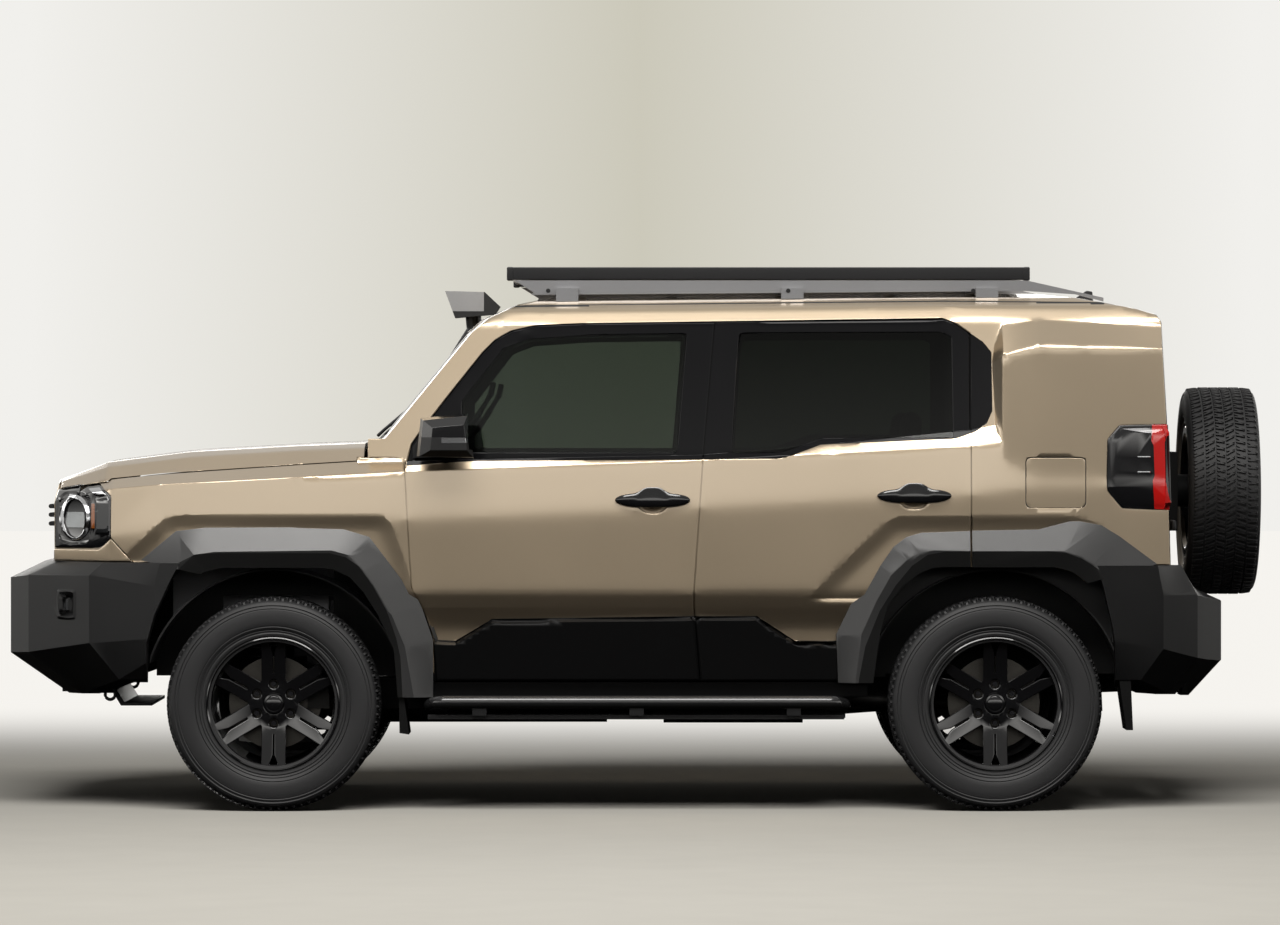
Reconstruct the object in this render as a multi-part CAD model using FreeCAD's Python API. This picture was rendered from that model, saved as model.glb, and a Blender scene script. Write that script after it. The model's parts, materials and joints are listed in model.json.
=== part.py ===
"""A lifted, five-door off-road estate car on a ladder frame, as an assembly of separate pieces.

Frame: +X forward, +Y to the car's left, +Z up, millimetres. The origin is on the ground, in the
middle of the car's length and width. Each piece is one file in parts/, named after the piece.
Left and right pieces are made once, on the left, and mirrored.
"""
import FreeCAD
import Part

import math
import os

V = FreeCAD.Vector

# ---- driving dimensions -------------------------------------------------------------------
LENGTH = 4564.0                      # front bumper to the back of the spare tyre
WHEELBASE = 2580.0
FRONT_OVERHANG = 984.0
FRONT_AXLE = LENGTH / 2 - FRONT_OVERHANG
REAR_AXLE = FRONT_AXLE - WHEELBASE
TYRE_R = 383.0                       # 265/60 R18
TYRE_W = 265.0
WHEEL_Y = 778.0                      # half the track
KINGPIN_Y = 700.0
GAP = 5.0                            # shut line between moving and fixed panels
SKIN = 22.0                          # depth of a door's outer flange
RECESS = 5.0                         # how far the window band lies below the paint
MIRROR_PLANE = V(0, 1, 0)
PARTS = {}


# ---- small helpers ------------------------------------------------------------------------
def box(x0, x1, y0, y1, z0, z1):
    low = V(min(x0, x1), min(y0, y1), min(z0, z1))
    return Part.makeBox(abs(x1 - x0), abs(y1 - y0), abs(z1 - z0), low)


def cylinder(radius, length, start, direction):
    return Part.makeCylinder(radius, length, start, direction)


def side_prism(outline, y0, y1):
    """A side-view outline of (x, z) points, drawn out from y0 to y1."""
    points = [V(x, y0, z) for x, z in outline]
    face = Part.Face(Part.makePolygon(points + points[:1]))
    return face.extrude(V(0, y1 - y0, 0))


def end_prism(outline, x0, x1):
    """An end-view outline of (y, z) points, drawn out from x0 to x1."""
    points = [V(x0, y, z) for y, z in outline]
    face = Part.Face(Part.makePolygon(points + points[:1]))
    return face.extrude(V(x1 - x0, 0, 0))


def plan_prism(outline, z0, z1):
    """A plan outline of (x, y) points, drawn out from z0 to z1."""
    points = [V(x, y, z0) for x, y in outline]
    face = Part.Face(Part.makePolygon(points + points[:1]))
    return face.extrude(V(0, 0, z1 - z0))


def ruled(sections):
    """A solid through closed sections, each a list of points with the same count."""
    wires = [Part.makePolygon([V(*p) for p in s] + [V(*s[0])]) for s in sections]
    return Part.makeLoft(wires, True, True)


def revolve_y(profile, centre):
    """A profile of (radius, y) points turned about the wheel axis through centre."""
    points = [V(centre.x + r, centre.y + y, centre.z) for r, y in profile]
    face = Part.Face(Part.makePolygon(points + points[:1]))
    return face.revolve(centre, V(0, 1, 0), 360)


def tube(points, radius, bend):
    """A round bar along straight runs, with each corner turned on an arc of radius bend."""
    path = [V(*p) for p in points]
    edges, here = [], path[0]
    for before, corner, after in zip(path, path[1:], path[2:]):
        a, b = (before - corner).normalize(), (after - corner).normalize()
        half = math.acos(max(-1.0, min(1.0, a.dot(b)))) / 2
        reach = bend / math.tan(half)
        start, end = corner + a * reach, corner + b * reach
        middle = corner + (a + b).normalize() * (bend / math.sin(half) - bend)
        edges += [Part.LineSegment(here, start).toShape(), Part.Arc(start, middle, end).toShape()]
        here = end
    edges.append(Part.LineSegment(here, path[-1]).toShape())
    ring = Part.Wire(Part.makeCircle(radius, path[0], path[1] - path[0]))
    return Part.Wire(edges).makePipeShell([ring], True, False, 1)


def fuse(shapes):
    first, *others = shapes
    return first.multiFuse(others).removeSplitter() if others else first


def mirrored(shape):
    return shape.mirror(V(0, 0, 0), MIRROR_PLANE)


def save(name, *shapes):
    """Keeps the solids of a piece under its name."""
    PARTS[name] = [s for shape in shapes for s in shape.Solids]


def trim(name, *others):
    """Cuts a piece back where it meets its neighbours."""
    tools = [s for other in others for s in PARTS[other]]
    cut = [solid.cut(tools) for solid in PARTS[name]]
    PARTS[name] = [s for shape in cut for s in shape.Solids if s.Volume > 2000]


def save_pair(name, shape):
    """The same piece on each side, as name_left and name_right."""
    save(name + "_left", shape)
    save(name + "_right", mirrored(shape))


# ---- outer surface of the body --------------------------------------------------------------
# Body below the windows, from the nose to the tail. Columns: x, then half widths at the sill,
# the tucked-in flank and the waist, then height and half width of the shoulder, then of the belt.
SILL_Z, FLANK_Z, WAIST_Z = 465.0, 722.0, 776.0
CROWN_DROP, CROWN_IN = 170.0, 9.0    # the flank starts to lean in this far below the shoulder
LOWER_BODY = [
    (2130, 560, 575, 590, 1108, 586, 1140, 505),
    (1885, 800, 815, 832, 1150, 829, 1184, 742),
    (1706, 848, 864, 880, 1166, 874, 1202, 780),
    (1200, 862, 877, 894, 1193, 887, 1236, 792),
    (836, 868, 882, 899, 1211, 893, 1258, 802),
    (826, 868, 882, 899, 1212, 893, 1250, 869),
    (-237, 872, 886, 905, 1254, 899, 1272, 872),
    (-800, 872, 886, 905, 1283, 899, 1322, 866),
    (-1194, 872, 884, 903, 1302, 896, 1362, 858),
    (-1434, 872, 884, 902, 1330, 896, 1410, 856),
    (-1930, 834, 846, 862, 1330, 857, 1410, 820),
]
# Bonnet. Columns: x, then height and half width of its edge, of its shoulder and of its crown
# line, then the height at the middle.
BONNET = [
    (2130, 1134, 505, 1160, 455, 1168, 400, 1172),
    (1905, 1182, 742, 1228, 665, 1246, 600, 1254),
    (1600, 1208, 783, 1264, 700, 1284, 620, 1293),
    (1200, 1236, 792, 1288, 712, 1306, 632, 1315),
    (836, 1258, 802, 1302, 722, 1320, 642, 1328),
]
# Roof and window band. Columns: x, then half widths at the belt, the top of the windows, the
# gutter, the roof's edge and its crown line, then a rise.
BELT_Z, CANT_Z, GUTTER_Z, EDGE_Z, CROWN_Z = 1200.0, 1747.0, 1796.0, 1830.0, 1848.0
GREENHOUSE = [
    (1000, 812, 738, 702, 644, 410, -16),
    (400, 868, 800, 768, 700, 450, -6),
    (-1100, 876, 806, 774, 706, 450, 8),
    (-1960, 846, 786, 754, 690, 440, 8),
]
# Rear quarter, which stands out to full width. Columns: x, then half width low and at the
# shoulder, the shoulder's height, then half width and height at the gutter.
QUARTER = [
    (-1215, 850, 802, 1560, 752, 1770),
    (-1272, 858, 822, 1604, 760, 1780),
    (-1309, 897, 889, 1628, 768, 1788),
    (-1434, 902, 895, 1662, 760, 1792),
    (-1930, 862, 856, 1650, 744, 1788),
]


def both_sides(rows, x):
    """A closed section at x from (half width, z) rows running up the left side."""
    left = [(x, y, z) for y, z in rows]
    right = [(x, -y, z) for y, z in reversed(rows)]
    return left + right


def body_outer(inset):
    """The whole outer surface as solids, with every side moved inboard by inset."""
    lower = ruled([both_sides([(y0 - inset, SILL_Z), (y1 - inset, FLANK_Z), (y2 - inset, WAIST_Z),
                               (y2 - inset, z3 - CROWN_DROP), (y3 - CROWN_IN - inset, z3),
                               (y4 - inset, z4)], x)
                   for x, y0, y1, y2, z3, y3, z4, y4 in LOWER_BODY])
    roof = ruled([both_sides([(y0 - inset, BELT_Z), (y1 - inset, CANT_Z + dz),
                              (y2 - inset, GUTTER_Z + dz), (y3 - inset, EDGE_Z + dz - inset / 2),
                              (y4 - inset, CROWN_Z + dz - inset)], x)
                  for x, y0, y1, y2, y3, y4, dz in GREENHOUSE])
    quarter = ruled([both_sides([(y0 - inset, 900), (y1 - inset, z1 - inset / 2),
                                 (y2 - inset, z2 - inset / 2)], x)
                     for x, y0, y1, z1, y2, z2 in QUARTER])
    return [lower, roof, quarter]


def bonnet_block(drop):
    return ruled([both_sides([(y0, 1000), (y0, z0 - drop), (y1, z1 - drop), (y2, z2 - drop),
                              (y2 / 2, (z2 + zm) / 2 - drop + 2)], x)
                  for x, z0, y0, z1, y1, z2, y2, zm in BONNET])


# Side view of the body's envelope, bent back towards its sides.
# Columns of the table: half width, then how far the nose, the windscreen and the tail stand back.
ENVELOPE_BEND = [(0, 0, 0, 0), (420, 8, 10, 6), (720, 30, 34, 20), (960, 60, 66, 44)]


def envelope(depth=0.0):
    """The body's silhouette from the side, drawn in by depth."""
    def outline(y, nose, screen, tail):
        d = depth
        rows = [(2126 - nose - d, 300), (2126 - nose - d, 1104), (2100 - nose - d, 1200),
                (2090 - nose - d, 1330 - d),
                (952 - screen - d, 1330 - d), (945 - screen - d, 1331 - d),
                (632 - screen - d, 1712 - d), (572 - screen - d, 1762 - d),
                (460 - screen - d, 1812 - d), (330 - screen - d, 1840 - d),
                (160 - d, 1852 - d), (-400, 1866 - d), (-1330, 1866 - d), (-1450, 1857 - d),
                (-1600, 1834 - d), (-1800 + tail / 2, 1797 - d), (-1888 + tail + d, 1775 - d),
                (-1906 + tail + d, 1748 - d), (-1926 + tail + d, 1400), (-1942 + tail + d, 800),
                (-1942 + tail + d, 300)]
        return [(x, y, z) for x, z in rows]
    left = [outline(*row) for row in ENVELOPE_BEND]
    right = [outline(-y, *rest) for y, *rest in reversed(ENVELOPE_BEND[1:])]
    return ruled(right + left)


# ---- outlines in side view ------------------------------------------------------------------
# Each arch: three lines from the sill up and over the wheel. Columns: x and z of the flare's
# outer edge, of its crest and of the opening.
FRONT_ARCH = [
    (727, 408, 794, 408, 852, 408), (727, 612, 827, 594, 866, 583), (766, 726, 876, 715, 919, 697),
    (819, 833, 937, 822, 973, 783), (876, 904, 987, 894, 1023, 837),
    (944, 990, 1030, 919, 1084, 865), (1041, 1015, 1076, 926, 1123, 870),
    (1541, 1013, 1505, 927, 1480, 870), (1644, 1001, 1576, 919, 1533, 858),
    (1769, 897, 1626, 892, 1558, 847),
]
REAR_DOOR_ARCH = [
    (-719, 458, -780, 458, -844, 458), (-712, 633, -801, 633, -869, 633),
    (-780, 772, -855, 754, -898, 737), (-848, 894, -919, 858, -951, 804),
    (-891, 969, -966, 901, -1012, 851), (-937, 1008, -1005, 919, -1058, 869),
    (-994, 1026, -1048, 926, -1101, 872), (-1191, 1033, -1191, 930, -1191, 872),
]
QUARTER_ARCH = [
    (-1197, 1033, -1197, 930, -1197, 872), (-1583, 1036, -1523, 931, -1494, 872),
    (-1658, 1022, -1580, 917, -1548, 858), (-1722, 983, -1619, 894, -1583, 837),
    (-1858, 883, -1644, 872, -1608, 815),
]
B_PILLAR = [(-280, 1749), (-237, 1261), (-205, 790), (-205, 733), (-227, 465)]
FRONT_DOOR = [(827, 1233), (807, 1311), (769, 1365), (669, 1493), (552, 1640), (505, 1686),
              (448, 1717), (362, 1736), (187, 1743)] + B_PILLAR + [
              (717, 465), (724, 612), (764, 726), (803, 800), (816, 994), (827, 1204)]
REAR_DOOR = [(-280, 1749), (-1094, 1761), (-1144, 1743), (-1194, 1709), (-1194, 872)] + [
    (i_x, i_z) for *_, i_x, i_z in reversed(REAR_DOOR_ARCH[1:-1])] + [(-844, 465)] + B_PILLAR[:0:-1]
WINDOW_BAND = [(825, 1233), (807, 1312), (770, 1363), (668, 1494), (552, 1640), (508, 1684),
               (450, 1717), (362, 1737), (187, 1744), (-1094, 1762), (-1145, 1742),
               (-1240, 1677), (-1270, 1640), (-1272, 1429), (-1252, 1385), (-1211, 1356),
               (-1138, 1331), (-701, 1312), (-657, 1309), (-598, 1287), (-533, 1263),
               (-497, 1258), (573, 1251), (702, 1243)]
FRONT_GLASS = [(628, 1465), (479, 1655), (391, 1688), (187, 1702), (-180, 1708), (-145, 1280),
               (628, 1280)]
REAR_GLASS = [(-366, 1710), (-1094, 1712), (-1127, 1695), (-1131, 1334), (-665, 1332),
              (-598, 1309), (-512, 1280), (-340, 1280)]
FRONT_CLADDING = [(724, 612), (648, 608), (516, 687), (-199, 697), (-221, 470), (712, 470)]
REAR_CLADDING = [(-211, 697), (-430, 697), (-566, 608), (-719, 608), (-719, 470), (-233, 470)]
LAMP_BAY = [(2160, 936), (1925, 936), (1881, 975), (1881, 1125), (1925, 1165), (2160, 1165)]
FENDER = [(830, 1400), (830, 1204), (819, 994), (806, 798), (767, 720), (728, 606), (721, 470),
          (850, 470)] + [(x, z) for *_, x, z in FRONT_ARCH[1:]] + [
          (1626, 890), (1800, 890), (1881, 975), (1881, 1125), (1925, 1165), (1925, 1400)]


def grown(outline, amount):
    """An outline moved out by amount all round, or in if it is negative."""
    points = [V(x, 0, z) for x, z in outline]
    wire = Part.makePolygon(points + points[:1])
    moved = wire.makeOffset2D(amount, 2)
    return [(v.X, v.Z) for v in moved.OrderedVertexes]


LAYERS = {}


def body_layer(depth):
    """The outer body with its sides, roof and ends drawn in by depth; each is made once."""
    if depth not in LAYERS:
        blocks = body_outer(depth)
        if depth == 0:
            blocks.append(bonnet_block(0))
        LAYERS[depth] = fuse(blocks).common(envelope(depth))
    return LAYERS[depth]


def cabin_space(inset=0.0):
    """The hollow of the cabin, inside the doors and under the roof."""
    rows = [(795, 470), (795, 1230), (790, 1330), (742, 1735), (690, 1795), (440, 1818)]
    sections = [both_sides([(y - narrow - inset, z + rise) for y, z in rows], x)
                for x, narrow, rise in [(826, 14, -12), (400, 4, -4), (-1100, 0, 8), (-1860, 16, 6)]]
    front = box(820, 905, -700, 700, 500, 1740)
    return fuse([ruled(sections), front]).common(envelope(36))


def engine_bay():
    """The hollow between the wings, open at the top."""
    return ruled([both_sides([(y0 - 26, 440), (y1 - 26, FLANK_Z), (y2 - 26, WAIST_Z),
                              (y2 - 26, z3 - CROWN_DROP), (y3 - CROWN_IN - 26, z3),
                              (y4 - 26, z4), (y4 - 26, 1420)], x)
                  for x, y0, y1, y2, z3, y3, z4, y4 in LOWER_BODY[:6]])


# ---- doors ----------------------------------------------------------------------------------
def hung_door(cabin, outline, glass, cladding):
    """A door: an outer skin, a smaller inner frame that fills the opening, and its cladding."""
    outer, trim = body_layer(0), body_layer(SKIN)
    skin = outer.common(side_prism(grown(outline, -GAP / 2), 600, 1000)).cut(trim)
    frame = trim.common(side_prism(grown(outline, -14), 600, 1000)).cut(cabin)
    door = fuse([skin, frame])
    band = outer.cut(body_layer(RECESS)).common(side_prism(WINDOW_BAND, 600, 1000))
    door = door.cut(band)
    door = door.cut(side_prism(grown(glass, -10), 600, 1000))
    door = door.cut(side_prism(glass, 600, 1000).cut(body_layer(RECESS + 6)))
    raised = ruled([both_sides([(y0 + 8, SILL_Z), (y1 + 5, FLANK_Z)], x)
                    for x, y0, y1, *_ in LOWER_BODY])
    plate = raised.common(side_prism(grown(cladding, -1), 800, 1000)).cut(trim)
    return fuse([door, plate])


def door_glass(glass):
    pane = body_layer(RECESS + 1).cut(body_layer(RECESS + 6))
    return pane.common(side_prism(grown(glass, -1), 600, 1000))


# ---- fixed shell ----------------------------------------------------------------------------
# Front and rear views: y and z.
WINDSCREEN = [(-706, 1344), (706, 1344), (640, 1716), (-640, 1716)]
GATE = [(-728, 838), (728, 838), (740, 1240), (716, 1560), (690, 1746), (-690, 1746),
        (-716, 1560), (-740, 1240)]
GATE_GLASS = [(-600, 1330), (600, 1330), (590, 1690), (-590, 1690)]
TAIL_LAMP = [(-1680, 1326), (-1726, 1379), (-1990, 1383), (-1990, 1072), (-1733, 1083),
             (-1680, 1147)]
BELOW_QUARTER = [(-1192, 300), (-1192, 872), (-1494, 872), (-1548, 858), (-1583, 837),
                 (-1608, 815), (-1640, 880), (-2000, 880), (-2000, 300)]
BONNET_REAR, BONNET_FRONT, NOSE_Z = 978.0, 2090.0, 890.0
GATE_HINGE_X, GATE_HINGE_Y = -1935.0, 800.0


def make_side(cabin):
    """Left side of the shell: sill, pillars, roof rail and rear quarter."""
    outer = body_layer(0)
    skin = outer.cut(body_layer(SKIN + 5))
    inner = body_layer(SKIN + 5).common(box(-2000, 905, 500, 1000, 400, 1900)).cut(cabin)
    for outline in (FRONT_DOOR, REAR_DOOR):
        skin = skin.cut(side_prism(grown(outline, GAP / 2), 600, 1000))
        inner = inner.cut(side_prism(grown(outline, -9), 600, 1000))
    middle = box(-1990, 832, 728, 1000, 400, 1900)
    pillar = box(600, 832, 560, 1000, 1262, 1700)
    corner = box(832, 962, 690, 1000, 1262, 1700)
    side = fuse([skin, inner]).common(fuse([middle, pillar, corner]))
    side = side.cut(end_prism(WINDSCREEN, 500, 1100))
    side = side.cut(side_prism(BELOW_QUARTER, 600, 1000))
    under_arch = [(i_x, i_z) for *_, i_x, i_z in REAR_DOOR_ARCH[:-1]]
    under_arch += [(-1196, 872), (-1196, 300), (-844, 300)]
    side = side.cut(side_prism(under_arch, 600, 1000))
    side = side.cut(end_prism(grown(GATE, GAP), -2100, -1850))
    side = side.cut(side_prism(grown(TAIL_LAMP, 2), 700, 1000))
    band = outer.cut(body_layer(RECESS)).common(side_prism(WINDOW_BAND, 600, 1000))
    side = side.cut(band)
    # posts inboard of the doors, a rebate wider than the openings, and the sill
    posts = []
    hollow = cabin_space(4).cut(cabin_space(58))
    posts.append(hollow.common(side_prism([(-150, 470), (-150, 1262), (-225, 1780),
                                           (-350, 1780), (-310, 1262), (-290, 470)], 500, 900)))
    line = [(-280, 1790), (-237, 1261), (-205, 790), (-205, 733), (-227, 466)]
    strip = [(x + 11, z) for x, z in line] + [(x - 11, z) for x, z in reversed(line)]
    posts.append(cabin.cut(cabin_space(20)).common(side_prism(strip, 500, 900)))
    posts.append(box(770, 828, 700, 778, 408, 1262))
    posts.append(box(815, 829, 740, 838, 470, 1249))
    posts.append(box(-826, 770, 735, 780, 408, 500))
    posts.append(box(-826, 730, 735, 838, 408, 459))
    return fuse([side] + posts)


def make_roof(cabin):
    shape = body_layer(0).common(box(-1990, 700, -728, 728, 1690, 1900)).cut(cabin)
    shape = shape.cut(end_prism(WINDSCREEN, 500, 1100))
    shape = shape.cut(end_prism(grown(GATE, GAP), -2100, -1850))
    return shape.common(fuse([box(-1990, 700, -728, 728, 1746, 1900),
                              box(560, 700, -728, 728, 1690, 1900)]))


def make_scuttle():
    """Firewall, cowl trough and the front wheel housings."""
    bay = engine_bay()
    wall = body_layer(0).common(bay).common(fuse([
        box(905, 925, -800, 800, 495, 1262), box(905, 968, -800, 800, 1180, 1262),
        box(860, 968, -690, 690, 1250, 1286), box(860, 946, -690, 690, 1280, 1344)]))
    wall = wall.cut(cabin_space())
    parts = [wall]
    for side in (1, -1):
        house = cylinder(470, 346, V(FRONT_AXLE, side * 484, 395), V(0, side, 0))
        space = cylinder(463, 400, V(FRONT_AXLE, side * 490, 395), V(0, side, 0))
        house = house.cut(space)
        parts[0] = parts[0].cut(space)
        house = house.common(fuse([box(840, 1742, -900, 900, 470, 900)]))
        house = house.cut(box(1100, 1500, -520, 520, 400, 760))
        parts.append(house.common(bay.fuse(box(905, 1700, -520, 520, 400, 900))))
    return fuse(parts)


def make_wing():
    """Left front wing."""
    shape = body_layer(0).common(side_prism(FENDER, 500, 1000)).cut(engine_bay())
    return shape.common(box(832, 1925, 500, 1000, 400, 1262)).cut(
        fuse([bonnet_block(0)]).common(box(832, 1925, 500, 1000, 1100, 1262)))


def make_bonnet():
    shell = bonnet_block(0).cut(bonnet_block(24)).common(envelope())
    lower = body_outer(0)[0]
    lower.translate(V(0, 0, 4))
    shell = shell.cut(lower)
    for side in (1, -1):
        shell = shell.cut(box(960, 1004, side * 768, side * 810, 1240, 1265))
    return shell.common(box(BONNET_REAR, BONNET_FRONT - 4, -900, 900, 1000, 1400))


def make_nose():
    """The panel round the lamps and the grille."""
    shape = body_layer(0).common(box(1790, 2200, -900, 900, NOSE_Z, 1300))
    for side in (1, -1):
        wing = side_prism(grown(FENDER, 1.5), side * 400, side * 1000)
        bay = side_prism(grown(LAMP_BAY, 2), side * 474, side * 1000)
        shape = shape.cut(wing).cut(bay)
    top = bonnet_block(-40).cut(body_outer(0)[0])
    shape = shape.cut(top.common(box(1700, BONNET_FRONT, -900, 900, 1000, 1400)))
    shape = shape.cut(box(1700, 2200, -470, 470, 948, 1120))
    return shape.cut(box(1700, 2060, -440, 440, 800, 1300))


def make_headlamp():
    shape = body_layer(4).common(side_prism(LAMP_BAY, 476, 1000))
    return shape.cut(box(1800, 2005, 300, 670, 900, 1200))


def make_grille():
    back = body_layer(18).common(box(2062, 2200, -468, 468, 950, 1118))
    bars = [box(2070, 2164, -440, 440, z - 8, z + 8) for z in (1021, 1053, 1084)]
    return fuse([back] + bars)


def make_gate(cabin):
    outer, trim = body_layer(0), body_layer(SKIN)
    skin = outer.common(end_prism(GATE, -2100, -1800)).cut(trim)
    frame = trim.common(end_prism(grown(GATE, -14), -2100, -1856)).cut(cabin)
    gate = fuse([skin, frame]).common(box(-2100, -1856, -900, 900, 700, 1900))
    gate = gate.cut(end_prism(grown(GATE_GLASS, -12), -2100, -1800))
    gate = gate.cut(end_prism(GATE_GLASS, -2100, -1800).cut(body_layer(8)))
    hinges = []
    for z in (950, 1430):
        hinges += [cylinder(10, 60, V(GATE_HINGE_X, -GATE_HINGE_Y, z), V(0, 0, 1)),
                   box(-1945, -1929, -GATE_HINGE_Y, -690, z + 6, z + 54),
                   box(-1945, -1895, -722, -690, z + 6, z + 54)]
    return fuse([gate] + hinges)


def make_gate_glass():
    return body_layer(3).cut(body_layer(8)).common(end_prism(grown(GATE_GLASS, -1.5), -2100, -1880))


def make_windscreen():
    pane = envelope(4).cut(envelope(10)).common(body_layer(0))
    return pane.common(end_prism(grown(WINDSCREEN, -2), 500, 1000)).common(
        box(500, 1000, -720, 720, 1300, 1760))


def make_tail_lamp():
    shape = body_layer(-4).common(side_prism(TAIL_LAMP, 752, 1000))
    return shape.cut(box(-1890, -1600, 600, 800, 1000, 1500))


# ---- flares, bumpers, steps -----------------------------------------------------------------
# Bumpers. Columns: half width, height and x of the top seam, x and z at the chamfer, at the
# lower break and at the bottom edge.
FRONT_BUMPER = [
    (0, 888, 2150, 2282, 827, 2282, 554, 2071, 407),
    (480, 888, 2145, 2272, 827, 2272, 554, 2060, 407),
    (620, 888, 2090, 2195, 838, 2195, 560, 2000, 410),
    (860, 888, 1905, 1957, 842, 1957, 600, 1850, 470),
    (925, 888, 1700, 1720, 803, 1720, 620, 1700, 560),
]
REAR_BUMPER = [
    (0, 740, -2007, -2126, 738, -2126, 525, -2003, 405),
    (430, 740, -2007, -2126, 738, -2126, 525, -2003, 405),
    (640, 800, -1990, -2105, 748, -2105, 530, -1990, 405),
    (740, 812, -1966, -2048, 760, -2048, 538, -1935, 412),
    (800, 878, -1950, -2010, 769, -2010, 545, -1900, 420),
    (900, 878, -1860, -1880, 769, -1880, 580, -1800, 470),
    (925, 878, -1700, -1705, 769, -1700, 612, -1690, 600),
]
STEP_TUBE_R = 24.0


def flare(stations):
    """An arch moulding over the stations: from the skin out to a crest and back to the opening."""
    sections = []
    for ox, oz, cx, cz, ix, iz in stations:
        dx, dz = ix - ox, iz - oz
        t = ((cx - ox) * dx + (cz - oz) * dz) / (dx * dx + dz * dz)
        px, pz = ox + t * dx, oz + t * dz
        sections.append([(ox, 840, oz), (ox, 893, oz), (px, 927, pz), (ix, 921, iz), (ix, 840, iz)])
    return ruled(sections).cut(body_layer(0))


def bumper(rows, back_x):
    """A faceted bumper, solid, from rows of half widths."""
    def outline(y, z0, x0, x1, z1, x2, z2, x3, z3):
        return [(back_x, y, z3), (x3, y, z3), (x2, y, z2), (x1, y, z1), (x0, y, z0),
                (back_x, y, z0)]
    left = [outline(*row) for row in rows]
    right = [outline(-y, *rest) for y, *rest in reversed(rows[1:])]
    return ruled(right + left)


def bumper_hollow(rows, back_x, wall):
    """The space behind a bumper's skin, open below; wall is negative at the rear."""
    thick = abs(wall)
    inner = [(y * 0.94, z0 - thick, x0 - wall, x1 - wall, z1 - thick - 1, x2 - wall, z2,
              x3 - wall * 1.6, z3 - 40) for y, z0, x0, x1, z1, x2, z2, x3, z3 in rows[:-1]]
    return bumper(inner, back_x)


def make_front_bumper():
    shape = bumper(FRONT_BUMPER, 1610).cut(bumper_hollow(FRONT_BUMPER, 1600, 45))
    arch = [(1500, 892), (1626, 892), (1665, 820), (1720, 700), (1748, 600), (1752, 300),
            (1500, 300)]
    for side in (1, -1):
        shape = shape.cut(side_prism(arch, side * 600, side * 1000))
    shape = shape.cut(box(1500, 1990, -480, 480, 300, 900))
    shape = shape.cut(box(1500, 1800, -640, 640, 300, 900))
    skid = side_prism([(2062, 400), (2062, 412), (1900, 412), (1870, 366), (1770, 366),
                       (1770, 354), (1884, 354), (1912, 400)], -330, 330)
    webs = [box(1900, 2100, y - 6, y + 6, 405, 560) for y in (-300, 300)]
    beam = box(1986, 2250, -420, 420, 560, 640)
    return fuse([shape, beam, skid] + webs)


def make_rear_bumper():
    shape = bumper(REAR_BUMPER, -1640).cut(bumper_hollow(REAR_BUMPER, -1630, -45))
    arch = [(-1500, 882), (-1640, 882), (-1665, 800), (-1697, 660), (-1706, 600), (-1710, 300),
            (-1500, 300)]
    for side in (1, -1):
        shape = shape.cut(side_prism(arch, side * 600, side * 1000))
    shape = shape.cut(box(-1960, -1500, -742, 742, 380, 900))
    body = body_layer(-3).common(box(-1960, -1500, -1000, 1000, 600, 900))
    return shape.cut(body.cut(side_prism(BELOW_QUARTER, -1000, 1000)))


def make_step():
    """Left side step: a flat tread on brackets, with a loop of tube outside it."""
    tread = box(-740, 745, 850, 925, 330, 346)
    path = [(690, 790, 372), (745, 880, 378), (700, 940, 392), (-704, 940, 392), (-749, 880, 378),
            (-694, 790, 372)]
    loop = tube([V(*p) for p in path], STEP_TUBE_R, 40)
    brackets = [box(x - 25, x + 25, 522, 950, 344, 372) for x in (560, 0, -560)]
    return fuse([tread, loop] + brackets)


# ---- wheels ---------------------------------------------------------------------------------
def make_tyre(centre):
    half = TYRE_W / 2
    profile = [(222.5, -111.5), (240.5, -111.5), (240.5, -122.5), (250, -124), (300, -half),
               (345, -half + 4), (372, -half + 15), (TYRE_R, -100), (TYRE_R, 100),
               (372, half - 15), (345, half - 4), (300, half), (250, 124), (240.5, 122.5),
               (240.5, 111.5), (222.5, 111.5)]
    return revolve_y(profile, centre)


def make_rim(centre, hub):
    """A wheel with six split spokes; hub is the inner end of its hub."""
    barrel = revolve_y([(205, -112), (214, -122), (240, -122), (240, -112), (222, -112), (222, 112),
                        (240, 112), (240, 122), (214, 122), (205, 108)], centre)
    face = revolve_y([(0, hub), (52, hub), (52, 24), (82, 24), (82, 66), (36, 66), (36, 76),
                      (0, 76)], centre)
    disc = revolve_y([(50, -46), (165, -46), (165, -24), (50, -24)], centre)
    spokes = []
    for n in range(6):
        for lean in (-1, 1):
            bar = Part.makePolygon([centre + V(x, 0, z) for x, z in [
                (lean * 4, 60), (lean * 8, 212), (lean * 42, 208), (lean * 30, 62), (lean * 4, 60)]])
            bar = Part.Face(bar).extrude(V(0, 38, 0))
            bar.translate(V(0, 60, 0))
            bar.rotate(centre, V(0, 1, 0), 60 * n)
            spokes.append(bar)
    return fuse([barrel, face, disc] + spokes)


def make_knuckle():
    """Left front upright with its stub axle and brake caliper."""
    x, z = FRONT_AXLE, TYRE_R
    post = cylinder(18, 262, V(x, KINGPIN_Y, z - 128), V(0, 0, 1))
    hub = cylinder(62, 44, V(x, 676, z), V(0, 1, 0))
    arm = box(x - 130, x - 20, 672, 706, z - 60, z - 30)
    caliper = box(x - 196, x - 118, 706, 784, z - 20, z + 110).cut(
        cylinder(172, 30, V(x, 728, z), V(0, 1, 0)))
    caliper = caliper.common(cylinder(198, 200, V(x, 650, z), V(0, 1, 0)))
    mount = box(x - 190, x - 20, 690, 716, z - 15, z + 60)
    return fuse([post, hub, arm, mount, caliper])


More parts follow.
